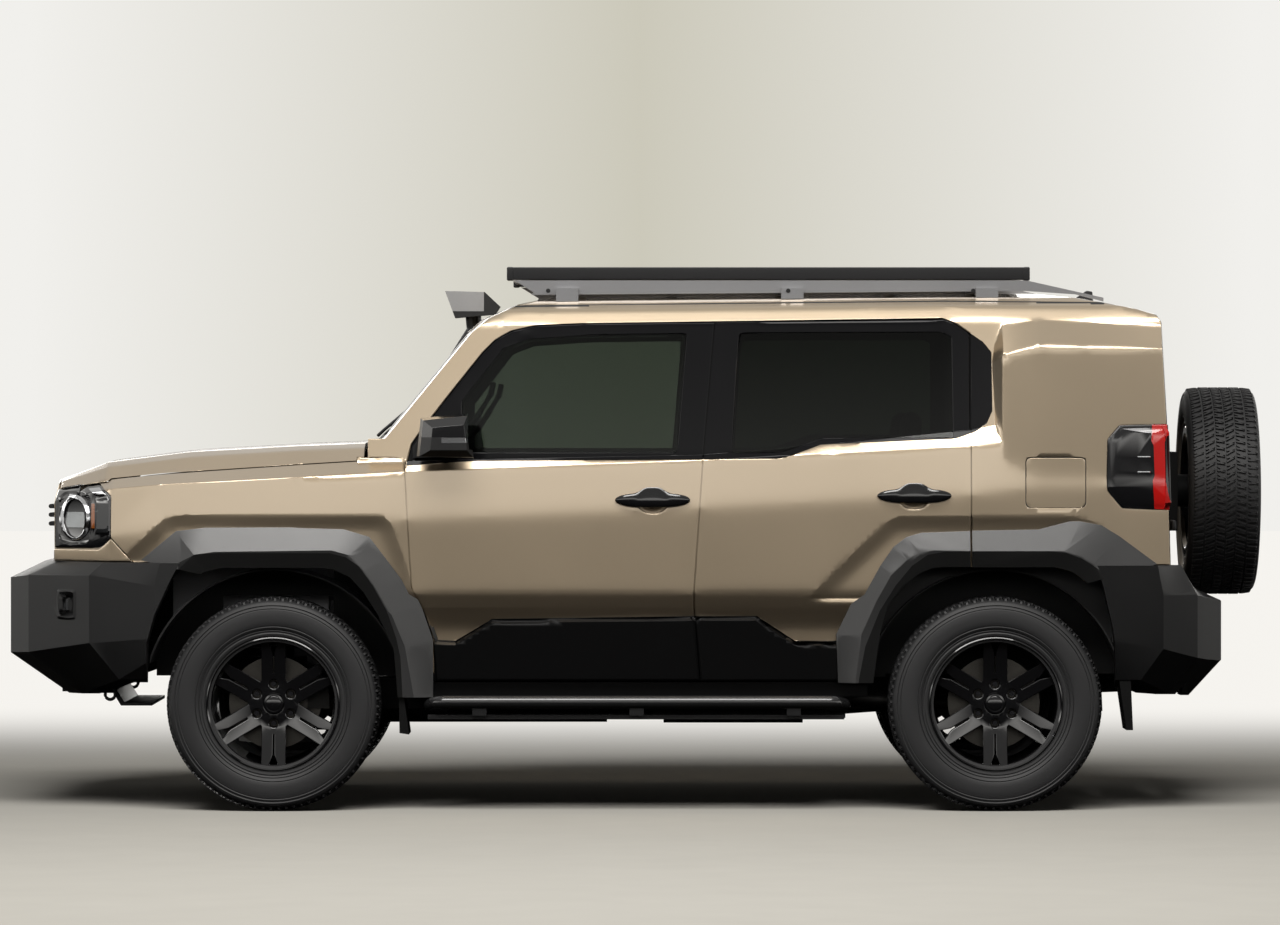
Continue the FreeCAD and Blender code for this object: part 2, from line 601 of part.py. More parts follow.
def make_front_suspension():
    x, z = FRONT_AXLE, TYRE_R
    parts = [box(x - 60, x + 60, -470, 470, 290, 345)]
    for side in (1, -1):
        for z_arm, wide, inner in ((z - 140, 150, 430), (z + 146, 100, 470)):
            arm = [(x - wide, side * inner), (x - wide + 60, side * inner), (x, side * (inner + 90)),
                   (x + wide - 60, side * inner), (x + wide, side * inner), (x + 26, side * 716),
                   (x - 26, side * 716)]
            parts.append(plan_prism(arm, z_arm - 12, z_arm + 12))
        parts.append(cylinder(48, 330, V(x - 10, side * 540, 250), V(0, 0, 1)))
        parts.append(box(x - 50, x + 50, side * 400, side * 450, 230, 545))
    return fuse(parts)


def make_rear_axle():
    x, z = REAR_AXLE, TYRE_R
    parts = [cylinder(40, 2 * (WHEEL_Y - 112), V(x, -WHEEL_Y + 112, z), V(0, 1, 0)),
             cylinder(125, 150, V(x, -75, z), V(0, 1, 0)),
             cylinder(50, 260, V(x + 80, 0, z), V(1, 0, 0))]
    for side in (1, -1):
        parts.append(cylinder(58, 120, V(x + 40, side * 330, z + 10), V(0, 0, 1)))
        parts.append(tube([V(x, side * 530, z - 10), V(x + 300, side * 518, z - 10),
                           V(x + 640, side * 506, z + 10)], 24, 60))
        parts.append(box(x - 30, x + 100, side * 300, side * 360, z - 20, z + 30))
    return fuse(parts)


# ---- chassis and floor ----------------------------------------------------------------------
# Frame rail, a straight length between each pair of rows. Columns: x and z of the lower edge,
# x and z of the upper edge.
RAIL = [(1985, 500, 1985, 610), (1540, 500, 1560, 610), (980, 350, 1000, 462), (-850, 350, -820, 462),
        (-1040, 470, -1010, 586), (-1520, 470, -1500, 586), (-1940, 450, -1940, 560)]


def make_frame():
    parts = []
    for side in (1, -1):
        for (ax, az, bx, bz), (cx, cz, dx, dz) in zip(RAIL, RAIL[1:]):
            parts.append(side_prism([(ax, az), (bx, bz), (dx, dz), (cx, cz)], side * 400, side * 480))
    for x, z0, z1 in ((1940, 520, 600), (60, 442, 461), (-200, 442, 461), (-780, 442, 461),
                      (-1900, 470, 540)):
        parts.append(box(x - 30, x + 30, -400, 400, z0, z1))
    for side in (1, -1):
        for x in (560, 0, -560):
            parts.append(box(x - 20, x + 20, side * 480, side * 522, 352, 404))
    return parts


def make_floor():
    """Cabin floor, raised at the back, with the rear wheel housings, as plates that meet."""
    parts = [box(-812, 836, -733, 733, 468, 492), box(836, 904, -484, 484, 468, 492),
             box(-900, -812, -560, 560, 468, 492), box(-900, -878, -560, 560, 492, 600),
             box(-1858, -878, -560, 560, 600, 622), box(-1858, -1836, -720, 720, 622, 830)]
    for side in (1, -1):
        parts.append(box(-1858, -1704, side * 560, side * 790, 600, 622))
        housing = cylinder(468, 230, V(REAR_AXLE, side * 560, 395), V(0, side, 0))
        housing = housing.cut(cylinder(462, 260, V(REAR_AXLE, side * 566, 395), V(0, side, 0)))
        parts.append(housing.common(box(-1835, -790, -790, 790, 480, 900)))
    return parts


def make_engine():
    block = box(1130, 1700, -230, 230, 470, 1080)
    cover = box(1180, 1650, -190, 190, 1080, 1130)
    gearbox = fuse([cylinder(170, 130, V(1000, 0, 560), V(1, 0, 0)),
                    cylinder(120, 900, V(110, 0, 400), V(1, 0, 0)).common(
                        box(0, 1200, -200, 200, 200, 464))])
    mounts = [box(1300, 1420, side * 228, side * 400, 548, 590) for side in (1, -1)]
    return fuse([block, cover, box(980, 1140, -150, 150, 470, 640), gearbox] + mounts)


def make_propshaft():
    return cylinder(36, 1050, V(-940, 0, 395), V(1, 0, 0))


def make_tank():
    return box(-760, -60, 120, 398, 312, 430)


def make_exhaust():
    pipe = tube([V(960, -260, 400), V(700, -280, 320), V(-700, -280, 320), V(-960, -250, 340),
                 V(-1150, -170, 470), V(-1420, -170, 480), V(-1640, -330, 400),
                 V(-1900, -560, 400)], 28, 60)
    muffler = cylinder(85, 520, V(-620, -270, 350), V(1, 0, 0))
    return fuse([pipe, muffler])


# ---- cabin ----------------------------------------------------------------------------------
def seat(x, y, half, recline=120):
    """One seat facing forward: its cushion, back and head restraint."""
    base = side_prism([(x + 240, 540), (x + 250, 660), (x + 180, 705), (x - 260, 680),
                       (x - 260, 540)], y - half, y + half)
    back = side_prism([(x - 130, 660), (x - 130 - recline, 1240), (x - 200 - recline, 1262),
                       (x - 262 - recline, 1240), (x - 270, 660)], y - half, y + half)
    return base, back


def make_front_seats():
    parts = []
    for y in (370, -370):
        base, back = seat(80, y, 250)
        rest = side_prism([(-196, 1290), (-200, 1440), (-240, 1462), (-290, 1440), (-284, 1290)],
                          y - 130, y + 130)
        posts = [cylinder(7, 70, V(-240, y + dy, 1235), V(-0.12, 0, 1)) for dy in (-60, 60)]
        legs = [box(-120, 260, y + dy - 15, y + dy + 15, 492, 545) for dy in (-200, 200)]
        parts += [base, back, rest] + posts + legs
    console = box(-350, 700, -110, 110, 492, 760)
    return fuse(parts + [console])


def make_rear_seats():
    base = side_prism([(-560, 492), (-550, 660), (-640, 705), (-860, 685), (-860, 492)], -700, 700)
    back = side_prism([(-858, 640), (-960, 1230), (-1000, 1250), (-1060, 1230), (-1000, 625),
                       (-858, 625)], -690, 690)
    parts = [base, back]
    for side in (1, -1):
        housing = cylinder(469, 240, V(REAR_AXLE, side * 559, 395), V(0, side, 0))
        parts = [part.cut(housing) for part in parts]
    for y in (420, -420):
        parts.append(side_prism([(-950, 1276), (-956, 1420), (-990, 1440), (-1040, 1420),
                                 (-1034, 1276)], y - 130, y + 130))
        parts += [cylinder(7, 60, V(-1000, y + dy, 1226), V(0, 0, 1)) for dy in (-60, 60)]
    return fuse(parts)


def make_dashboard():
    top = side_prism([(902, 1000), (902, 1250), (830, 1270), (620, 1262), (560, 1200), (560, 1080),
                      (700, 900), (902, 860)], -688, 688)
    stack = side_prism([(700, 760), (560, 1100), (620, 1150), (800, 1150), (800, 758), (702, 758)],
                       -110, 110)
    column = cylinder(30, 190, V(432, -370, 1042), V(0.93, 0, 0.08))
    return fuse([top, stack, column])


def make_steering_wheel():
    centre, axis = V(420, -370, 1040), V(-0.92, 0, 0.39)
    ring = Part.makeTorus(182, 16, centre, axis)
    hub = cylinder(55, 34, centre, V(0.92, 0, -0.39))
    parts = [ring, hub]
    for dy, dz in ((1, 0), (-1, 0), (0, -1)):
        end = centre + V(0.39 * dz * 176, dy * 176, 0.92 * dz * 176)
        parts.append(cylinder(11, 176, centre, end - centre))
    return fuse(parts)


# ---- outside fittings -----------------------------------------------------------------------
def make_mirror():
    """Left door mirror: a foot on the door, an arm and a cupped head."""
    head = ruled([[(778, 930, 1300), (760, 930, 1390), (640, 930, 1408), (628, 930, 1300)],
                  [(782, 980, 1268), (768, 980, 1404), (600, 980, 1420), (580, 980, 1262)],
                  [(770, 1070, 1268), (756, 1070, 1396), (600, 1070, 1412), (580, 1070, 1266)],
                  [(730, 1104, 1290), (722, 1104, 1370), (612, 1104, 1380), (600, 1104, 1290)]])
    head = head.cut(ruled([[(600, 960, 1290), (600, 960, 1392), (500, 960, 1392), (500, 960, 1290)],
                           [(600, 1088, 1292), (600, 1088, 1376), (500, 1088, 1376),
                            (500, 1088, 1292)]]))
    arm = side_prism([(700, 1290), (700, 1345), (650, 1345), (650, 1290)], 840, 940)
    foot = side_prism([(800, 1262), (800, 1300), (740, 1390), (640, 1390), (640, 1262)], 838, 856)
    return fuse([head, arm, foot]).cut(body_layer(0))


def make_handle(x0, x1, z):
    bar = side_prism([(x0, z - 14), (x0, z + 10), (x1, z + 14), (x1, z - 10)], 920, 936)
    posts = [box(x - 14, x + 14, 880, 924, z - 9, z + 9) for x in (x0 - 22, x1 + 22)]
    return fuse([bar] + posts).cut(body_layer(0))


def make_snorkel():
    """Air intake on the right: up the screen pillar to a head facing forward."""
    stem = tube([V(1010, -835, 1195), V(960, -860, 1230), V(905, -868, 1290), V(620, -820, 1740),
                 V(626, -812, 1810)], 30, 40)
    head = side_prism([(731, 1786), (731, 1889), (580, 1885), (521, 1830), (540, 1800)], -860, -752)
    return fuse([stem, head]).cut(body_layer(0))


def make_rack():
    """Flat roof platform on two side rails that stand on the gutters."""
    parts = [box(-1405, 456, y - 14, y + 14, 1900, 1949) for y in (-640, 640)]
    parts += [box(x - 20, x + 20, -640, 640, 1900, 1944) for x in (436, -1385)]
    parts += [box(x - 32, x + 32, -640, 640, 1922, 1940)
              for x in [336 - 95.5 * n for n in range(18)]]
    return fuse(parts)


def make_rack_rails():
    parts = []
    for side in (1, -1):
        rail = side_prism([(440, 1900), (-1405, 1900), (-1682, 1838), (-1682, 1824), (-1580, 1850),
                           (-1400, 1862), (380, 1848), (372, 1858)], side * 646, side * 654)
        feet = [box(x - 40, x + 40, side * 640, side * 704, 1820, 1872) for x in (250, -560, -1260)]
        parts.append(fuse([rail] + feet).cut(body_layer(0)))
    bars = [box(x - 15, x + 15, -654, 654, 1874, 1900) for x in (200, -560, -1260)]
    return fuse(parts + bars)


def make_spare_carrier():
    """Bracket on the tailgate that carries the spare, with the spare's wheel."""
    centre = V(-2017 - TYRE_W / 2, 0, 1136)
    plate = box(-1990, -1924, -150, 150, 990, 1280).cut(body_layer(0))
    post = cylinder(60, 110, V(-2060, 0, 1136), V(1, 0, 0))
    return centre, fuse([plate, post])


def make_spare(centre):
    """The spare's tyre and wheel, its face to the rear."""
    tyre = make_tyre(centre)
    rim = make_rim(centre, -70)
    turned = []
    for shape in (tyre, rim):
        shape = shape.copy()
        shape.rotate(centre, V(0, 0, 1), 90)
        turned.append(shape)
    return turned


def make_flaps():
    parts = []
    for side in (1, -1):
        parts.append(side_prism([(838, 470), (812, 275), (846, 280), (850, 470)],
                                side * 690, side * 905))
        parts.append(side_prism([(-1722, 470), (-1748, 290), (-1772, 290), (-1764, 470)],
                                side * 700, side * 895))
        parts.append(box(838, 850, side * 690, side * 900, 400, 520))
    return parts


# ---- assembly -------------------------------------------------------------------------------
# Fixed pieces that are cut back to their neighbours: the piece, then what it is fitted to.
SIDES = ("body_side_left", "body_side_right")
TRIMS = [
    ("roof", *SIDES), ("floor", "frame", *SIDES), ("scuttle", "floor"), ("rear_seats", "floor"),
    ("dashboard", "steering_wheel"), ("front_suspension", "frame"), ("front_bumper", "frame"),
    ("flares", "front_bumper", "rear_bumper", *SIDES), ("door_flare_left", "door_rear_left"),
    ("door_flare_right", "door_rear_right"),
    ("mud_flaps", "flares", "front_bumper", "rear_bumper", "scuttle", "wings", "floor"),
]


def make_all():
    cabin = cabin_space()
    front_wheel = V(FRONT_AXLE, WHEEL_Y, TYRE_R)
    rear_wheel = V(REAR_AXLE, WHEEL_Y, TYRE_R)
    door = hung_door(cabin, FRONT_DOOR, FRONT_GLASS, FRONT_CLADDING)
    save_pair("door_front", door)
    save_pair("handle_front", make_handle(77, -191, 1124))
    door = hung_door(cabin, REAR_DOOR, REAR_GLASS, REAR_CLADDING)
    save_pair("door_rear", door)
    save_pair("handle_rear", make_handle(-858, -1123, 1139))
    save_pair("glass_front", door_glass(FRONT_GLASS))
    save_pair("glass_rear", door_glass(REAR_GLASS))
    save_pair("body_side", make_side(cabin))
    save("roof", make_roof(cabin))
    save("scuttle", make_scuttle())
    wing = make_wing()
    save("wings", wing, mirrored(wing))
    save("bonnet", make_bonnet())
    save("nose", make_nose())
    lamp = make_headlamp()
    save("headlamps", lamp, mirrored(lamp))
    save("grille", make_grille())
    save("tailgate", make_gate(cabin))
    save("gate_glass", make_gate_glass())
    save("windscreen", make_windscreen())
    lamp = make_tail_lamp()
    save("tail_lamps", lamp, mirrored(lamp))
    front_flare, quarter_flare = flare(FRONT_ARCH), flare(QUARTER_ARCH)
    save("flares", front_flare, mirrored(front_flare), quarter_flare, mirrored(quarter_flare))
    save_pair("door_flare", flare(REAR_DOOR_ARCH))
    save("front_bumper", make_front_bumper())
    save("rear_bumper", make_rear_bumper())
    step = make_step()
    save("side_steps", step, mirrored(step))
    save_pair("wheel_front_tyre", make_tyre(front_wheel))
    save_pair("wheel_front_rim", make_rim(front_wheel, -58))
    save_pair("wheel_rear_tyre", make_tyre(rear_wheel))
    save_pair("wheel_rear_rim", make_rim(rear_wheel, -112))
    save_pair("knuckle", make_knuckle())
    save("front_suspension", make_front_suspension())
    save("rear_axle", make_rear_axle())
    save("frame", *make_frame())
    save("floor", *make_floor())
    save("engine", make_engine())
    save("underbody", make_propshaft(), make_tank(), make_exhaust())
    save("front_seats", make_front_seats())
    save("rear_seats", make_rear_seats())
    save("dashboard", make_dashboard())
    save("steering_wheel", make_steering_wheel())
    save_pair("mirror", make_mirror())
    save("snorkel", make_snorkel())
    save("rack", make_rack())
    save("rack_rails", make_rack_rails())
    centre, carrier = make_spare_carrier()
    tyre, rim = make_spare(centre)
    save("spare_carrier", carrier)
    save("spare_tyre", tyre)
    save("spare_rim", rim)
    save("mud_flaps", *make_flaps())
    for name, *others in TRIMS:
        trim(name, *others)


def export():
    os.makedirs("parts", exist_ok=True)
    for name, solids in PARTS.items():
        Part.makeCompound(solids).exportStep("parts/" + name + ".step")


make_all()
export()
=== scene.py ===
"""Lifted off-road estate car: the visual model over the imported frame."""

import json
import math

import bmesh
import bpy
from mathutils import Matrix, Vector
from mathutils.geometry import intersect_point_line


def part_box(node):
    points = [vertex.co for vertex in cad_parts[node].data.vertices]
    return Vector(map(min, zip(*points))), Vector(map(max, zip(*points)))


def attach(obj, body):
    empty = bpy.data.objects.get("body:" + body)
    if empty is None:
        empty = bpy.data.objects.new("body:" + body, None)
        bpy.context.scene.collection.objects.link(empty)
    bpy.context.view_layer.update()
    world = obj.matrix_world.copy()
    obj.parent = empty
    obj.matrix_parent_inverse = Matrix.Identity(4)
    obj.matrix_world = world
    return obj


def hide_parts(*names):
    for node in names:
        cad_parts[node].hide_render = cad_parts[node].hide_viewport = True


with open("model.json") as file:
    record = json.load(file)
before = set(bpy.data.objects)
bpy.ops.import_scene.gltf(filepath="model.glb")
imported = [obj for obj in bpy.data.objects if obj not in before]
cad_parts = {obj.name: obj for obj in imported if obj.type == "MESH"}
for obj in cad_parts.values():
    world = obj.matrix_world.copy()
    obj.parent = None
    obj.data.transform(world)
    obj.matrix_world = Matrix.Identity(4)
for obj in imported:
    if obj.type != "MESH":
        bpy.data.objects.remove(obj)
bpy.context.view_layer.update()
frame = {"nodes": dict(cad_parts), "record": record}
nodes = frame["nodes"]
body_of_node = {n: b for b, members in frame["record"]["behaviour"]["bodies"].items() for n in members}

# ---- Painted shell --------------------------------------------------------------------------
# Pressed steel panels in champagne metallic paint under clear coat. Each panel is copied from the
# frame, its folds are rolled to a press radius and its cut edges are hemmed.


def shader_group(name, inputs, outputs):
    """An empty node group with named sockets: (name, kind, default) in, (name, kind) out."""
    tree = bpy.data.node_groups.new(name, "ShaderNodeTree")
    for label, kind, value in inputs:
        socket = tree.interface.new_socket(label, in_out="INPUT", socket_type="NodeSocket" + kind)
        socket.default_value = value
    for label, kind in outputs:
        tree.interface.new_socket(label, in_out="OUTPUT", socket_type="NodeSocket" + kind)
    return tree, tree.nodes.new("NodeGroupInput").outputs, tree.nodes.new("NodeGroupOutput").inputs


def add(tree, kind, links=(), **settings):
    """A node with its settings; links are (input name or number, socket or value)."""
    node = tree.nodes.new("ShaderNode" + kind)
    for key, value in settings.items():
        setattr(node, key, value)
    for key, value in links:
        if hasattr(value, "is_linked"):
            tree.links.new(value, node.inputs[key])
        else:
            node.inputs[key].default_value = value
    return node


# Small uneven tone and sheen that every hard surface has: input colour in, toned colour out.
tone_group, t_in, t_out = shader_group("surface_tone", [
    ("Colour", "Color", (0.5, 0.5, 0.5, 1)), ("Grain size", "Float", 400.0),
    ("Tone", "Float", 0.05), ("Roughness", "Float", 0.4), ("Spread", "Float", 0.05),
    ("Bump", "Float", 0.1), ("Depth", "Float", 0.0002)],
    [("Colour", "Color"), ("Roughness", "Float"), ("Normal", "Vector")])
place = add(tone_group, "TexCoord").outputs["Object"]
fine = add(tone_group, "TexNoise", [("Vector", place), ("Scale", t_in["Grain size"]), ("Detail", 3.0)])
broad = add(tone_group, "TexNoise", [("Vector", place), ("Scale", 2.3), ("Detail", 4.0)])
both = add(tone_group, "Math", [(0, fine.outputs["Fac"]), (1, broad.outputs["Fac"])], operation="ADD")
level = add(tone_group, "Math", [(0, both.outputs[0]), (1, 1.0)], operation="SUBTRACT")
swing = add(tone_group, "Math", [(0, level.outputs[0]), (1, t_in["Tone"]), (2, 1.0)],
            operation="MULTIPLY_ADD")
tinted = add(tone_group, "VectorMath", [(0, t_in["Colour"]), ("Scale", swing.outputs[0])],
             operation="SCALE")
tone_group.links.new(tinted.outputs[0], t_out["Colour"])
rougher = add(tone_group, "Math", [(0, level.outputs[0]), (1, t_in["Spread"]), (2, t_in["Roughness"])],
              operation="MULTIPLY_ADD")
tone_group.links.new(rougher.outputs[0], t_out["Roughness"])
bump = add(tone_group, "Bump", [("Strength", t_in["Bump"]), ("Distance", t_in["Depth"]),
                                ("Height", fine.outputs["Fac"])])
tone_group.links.new(bump.outputs[0], t_out["Normal"])


def finish_material(name, colour, roughness, grain=400.0, tone=0.05, spread=0.05, bump=0.1,
                    depth=0.0002, **sockets):
    """A material on the surface_tone group; other values go straight on the shader."""
    material = bpy.data.materials.new(name)
    material.use_nodes = True
    tree = material.node_tree
    shader = tree.nodes["Principled BSDF"]
    group = tree.nodes.new("ShaderNodeGroup")
    group.node_tree = tone_group
    for label, value in (("Colour", (*colour, 1)), ("Grain size", grain), ("Tone", tone),
                         ("Roughness", roughness), ("Spread", spread), ("Bump", bump),
                         ("Depth", depth)):
        group.inputs[label].default_value = value
    for source, target in (("Colour", "Base Color"), ("Roughness", "Roughness"),
                           ("Normal", "Normal")):
        tree.links.new(group.outputs[source], shader.inputs[target])
    for label, value in sockets.items():
        shader.inputs[label.replace("_", " ")].default_value = value
    return material


champagne = finish_material("champagne_metallic", (0.52, 0.42, 0.30), 0.30, grain=1800.0, tone=0.10,
                            bump=0.04, Metallic=0.88, Coat_Weight=1.0, Coat_Roughness=0.04)
band_black = finish_material("window_band_black", (0.005, 0.005, 0.006), 0.12, tone=0.3,
                             bump=0.0, Specular_IOR_Level=0.16)
cladding = finish_material("moulded_cladding", (0.002, 0.002, 0.0022), 0.40, grain=900.0, tone=0.2,
                           bump=0.20, Specular_IOR_Level=0.10)
trim_dark = finish_material("inner_trim_dark", (0.018, 0.018, 0.018), 0.55, grain=700.0, tone=0.3,
                            bump=0.2)

# Side-view outlines, in millimetres: the black band round the windows, the sill cladding, and the
# ledge, which lies a little below the cladding's top edge.
WINDOW_BAND = [(825, 1233), (807, 1312), (770, 1363), (668, 1494), (552, 1640), (508, 1684),
               (450, 1717), (362, 1737), (187, 1744), (-1094, 1762), (-1145, 1742), (-1240, 1677),
               (-1270, 1640), (-1272, 1429), (-1252, 1385), (-1211, 1356), (-1138, 1331),
               (-701, 1312), (-657, 1309), (-598, 1287), (-533, 1263), (-497, 1258), (573, 1251),
               (702, 1243)]
CLADDING = [(724, 612), (648, 608), (516, 687), (-199, 697), (-430, 697), (-566, 608), (-719, 608),
            (-719, 440), (724, 440)]
LEDGE_DROP, CLADDING_FOOT = 15, 440
LEDGE = [(x, z if z == CLADDING_FOOT else z - LEDGE_DROP) for x, z in CLADDING]
FACING = 0.3        # a face looks out to the side when its normal leans at least this much that way
SIDE_SKIN = 0.8     # the sides' outer skin lies further out than this, in metres


def within(outline, x, z):
    """True if the side-view point, in metres, lies inside the outline, in millimetres."""
    x, z, inside = x * 1000, z * 1000, False
    for (x0, z0), (x1, z1) in zip(outline, outline[1:] + outline[:1]):
        if (z0 > z) != (z1 > z) and x < x0 + (z - z0) * (x1 - x0) / (z1 - z0):
            inside = not inside
    return inside


def merged(node):
    """The node's mesh with its triangles joined back into whole faces."""
    bm = bmesh.new()
    bm.from_mesh(nodes[node].data)
    bmesh.ops.remove_doubles(bm, verts=bm.verts, dist=2e-5)
    bmesh.ops.dissolve_limit(bm, angle_limit=math.radians(0.6), verts=bm.verts, edges=bm.edges,
                             delimit=set())
    return bm


def eased(bm, edges, radius, segments):
    """Rounds the given edges."""
    bmesh.ops.bevel(bm, geom=edges, offset=radius, segments=segments, profile=0.5, affect="EDGES",
                    clamp_overlap=True, material=-1)


def roll(bm, low, high, radius, segments):
    """Rolls every fold whose angle lies between low and high degrees."""
    eased(bm, [e for e in bm.edges if len(e.link_faces) == 2 and e.calc_length() > radius * 1.2
               and low < math.degrees(e.calc_face_angle(0.0)) < high], radius, segments)


def sliced(bm, spot, way, geom=None):
    """Cuts a plane's line into the faces, all of them if none are given; nothing is removed."""
    if geom is None:
        geom = bm.verts[:] + bm.edges[:] + bm.faces[:]
    return bmesh.ops.bisect_plane(bm, geom=geom, dist=1e-5, plane_co=spot, plane_no=way)["geom"]


def with_edges(faces):
    """The points, edges and faces of a patch, as sliced takes them."""
    return list({v for f in faces for v in f.verts}) + list({e for f in faces for e in f.edges}) + faces


def steepest(vert):
    """The sharpest fold that meets a point, in degrees; 180 on an open edge."""
    return max(180.0 if len(e.link_faces) != 2 else math.degrees(e.calc_face_angle(0.0))
               for e in vert.link_edges)


def relaxed(bm, verts, rounds):
    """Lets points settle towards their neighbours, round by round."""
    for _ in range(rounds):
        bmesh.ops.smooth_vert(bm, verts=verts, factor=0.5, use_axis_x=True, use_axis_y=True,
                              use_axis_z=True)


# The net over a pressed panel, in metres, and how far the press rounds its folds, in degrees.
NET_STEP, SOFT_FOLD, ROUND_FOLD = 0.022, 11.0, 58.0


def pressed(bm, outward):
    """Gives the outward faces a press-formed surface: a fine net, relaxed over the soft folds."""
    skin = [f for f in bm.faces if outward(f)]
    geom = with_edges(skin)
    points = [v.co for f in skin for v in f.verts]
    for axis in range(3):
        low, high = min(p[axis] for p in points), max(p[axis] for p in points)
        normal = Vector((axis == 0, axis == 1, axis == 2))
        count = int((high - low) / NET_STEP)
        for n in range(1, count + 1):
            geom = sliced(bm, normal * (low + (high - low) * n / (count + 1)), normal, geom)
    free = {v for f in geom if isinstance(f, bmesh.types.BMFace) for v in f.verts}
    soft = [v for v in free if steepest(v) < SOFT_FOLD]
    round_too = [v for v in free if steepest(v) < ROUND_FOLD]
    relaxed(bm, soft, 8)
    relaxed(bm, round_too, 2)


# Outer lines of the tuck that runs over the arches, in side view and millimetres, and its shape.
ARCH_TUCKS = [[(1850, 800), (1850, 896), (1820, 922), (1690, 1043), (1650, 1057), (905, 1057),
               (872, 1020), (822, 880), (790, 756)],
              [(-610, 756), (-700, 856), (-898, 1037), (-935, 1052), (-1560, 1052), (-1640, 1030),
               (-1840, 872), (-1840, 756)]]
TUCK_WIDTH, TUCK_LEAN = 0.045, 0.20
# The undercut: its foot and the waist fold above it, how much it leans, and how deep it goes.
UNDERCUT_FOOT, WAIST_FOLD, UNDERCUT_LEAN, UNDERCUT_DEPTH = 0.59, 0.725, 0.36, 0.024


def outer(vert, side):
    """True for a point of the side's outer skin."""
    return vert.co.y * side > SIDE_SKIN and vert.normal.y * side > FACING


def undercut(bm, side):
    """Leans the skin inwards below the waist fold, down to the ledge on top of the cladding."""
    cut_outline(bm, LEDGE, side)
    for v in bm.verts:
        if (outer(v, side) and UNDERCUT_FOOT < v.co.z < WAIST_FOLD
                and not within(LEDGE, v.co.x, v.co.z - 0.0002)):
            v.co.y -= side * min((WAIST_FOLD - v.co.z) * UNDERCUT_LEAN, UNDERCUT_DEPTH)


def tucked(bm, side):
    """Leans the skin inwards over a strip next to each arch flare."""
    for line in ARCH_TUCKS:
        cut_outline(bm, line, side)
        ends = [Vector(p) / 1000 for p in line]
        for v in bm.verts:
            if outer(v, side) and within(line, v.co.x, v.co.z):
                spots = [intersect_point_line(v.co.xz, a, b) for a, b in zip(ends, ends[1:])]
                near = min((v.co.xz - (a if t < 0 else b if t > 1 else Vector(spot[:2]))).length
                           for (spot, t), a, b in zip(spots, ends, ends[1:]))
                v.co.y -= side * min(near, TUCK_WIDTH) * TUCK_LEAN


def in_scene(name, data):
    """A new object in the scene, at the origin."""
    obj = bpy.data.objects.new(name, data)
    bpy.context.scene.collection.objects.link(obj)
    return obj


def piece(name, bm, materials, body, sharp=32.0, replaces=()):
    """A finished piece from a bmesh: smooth-shaded, riding on its body."""
    mesh = bpy.data.meshes.new(name)
    bm.to_mesh(mesh)
    bm.free()
    mesh.shade_smooth()
    mesh.set_sharp_from_angle(angle=math.radians(sharp))
    for material in materials:
        mesh.materials.append(material)
    obj = in_scene(name, mesh)
    weighted = obj.modifiers.new("face_weight", "WEIGHTED_NORMAL")
    weighted.keep_sharp = True
    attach(obj, body)
    if replaces:
        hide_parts(*replaces)


NEAR_OUTLINE, CUT_MARGIN = 0.006, 0.0005     # in metres


def cut_outline(bm, outline, side):
    """Cuts a side-view outline, in millimetres, into the faces on one side of the car."""
    points = [Vector((x, z)) / 1000 for x, z in outline]
    runs = list(zip(points, points[1:] + points[:1]))
    near = set()
    for f in bm.faces:
        if f.normal.y * side > FACING:
            middle = f.calc_center_median().xz
            reach = NEAR_OUTLINE + max((v.co.xz - middle).length for v in f.verts)
            for p, q in runs:
                spot, t = intersect_point_line(middle, p, q)
                spot = p if t < 0 else q if t > 1 else spot
                if (middle - Vector(spot[:2])).length < reach:
                    near.add(f)
                    break
    for p, q in runs:
        low = Vector((min(p.x, q.x), min(p.y, q.y))) - Vector((CUT_MARGIN, CUT_MARGIN))
        high = Vector((max(p.x, q.x), max(p.y, q.y))) + Vector((CUT_MARGIN, CUT_MARGIN))
        faces = []
        for f in near:
            xs, zs = [v.co.x for v in f.verts], [v.co.z for v in f.verts]
            if min(xs) < high.x and max(xs) > low.x and min(zs) < high.y and max(zs) > low.y:
                faces.append(f)
        along = (q - p).normalized()
        made = sliced(bm, (p.x, 0, p.y), (along.y, 0, -along.x), with_edges(faces))
        near |= {g for g in made if isinstance(g, bmesh.types.BMFace)}


def rounded(corners, radius, steps=5):
    """An outline with its corners turned on arcs; corners are (x, z) points."""
    points = []
    for before, corner, after in zip(corners[-1:] + corners[:-1], corners, corners[1:] + corners[:1]):
        c = Vector(corner)
        a, b = (Vector(before) - c).normalized(), (Vector(after) - c).normalized()
        reach = radius / math.tan(a.angle(b) / 2)
        for n in range(steps + 1):
            t = n / steps
            points.append(tuple(c + a * reach * (1 - t) ** 2 + b * reach * t ** 2))
    return points


def inside_faces(bm, outline, side):
    """The side's faces whose middles lie inside an outline."""
    return [f for f in bm.faces if f.normal.y * side > FACING
            and within(outline, f.calc_center_median().x, f.calc_center_median().z)]


def stepped(bm, outline, side, width, height, ring_slot, inner_slot):
    """Raises (or sinks) the skin inside an outline, with a sloping border of the given width."""
    cut_outline(bm, outline, side)
    inside = inside_faces(bm, outline, side)
    ring = bmesh.ops.inset_region(bm, faces=inside, thickness=width, depth=height,
                                  use_even_offset=True, use_boundary=True)["faces"]
    for f in ring:
        f.material_index = ring_slot
    for f in inside:
        f.material_index = inner_slot


def points_of(geom):
    """The points among what an operator has made."""
    return [g for g in geom if isinstance(g, bmesh.types.BMVert)]


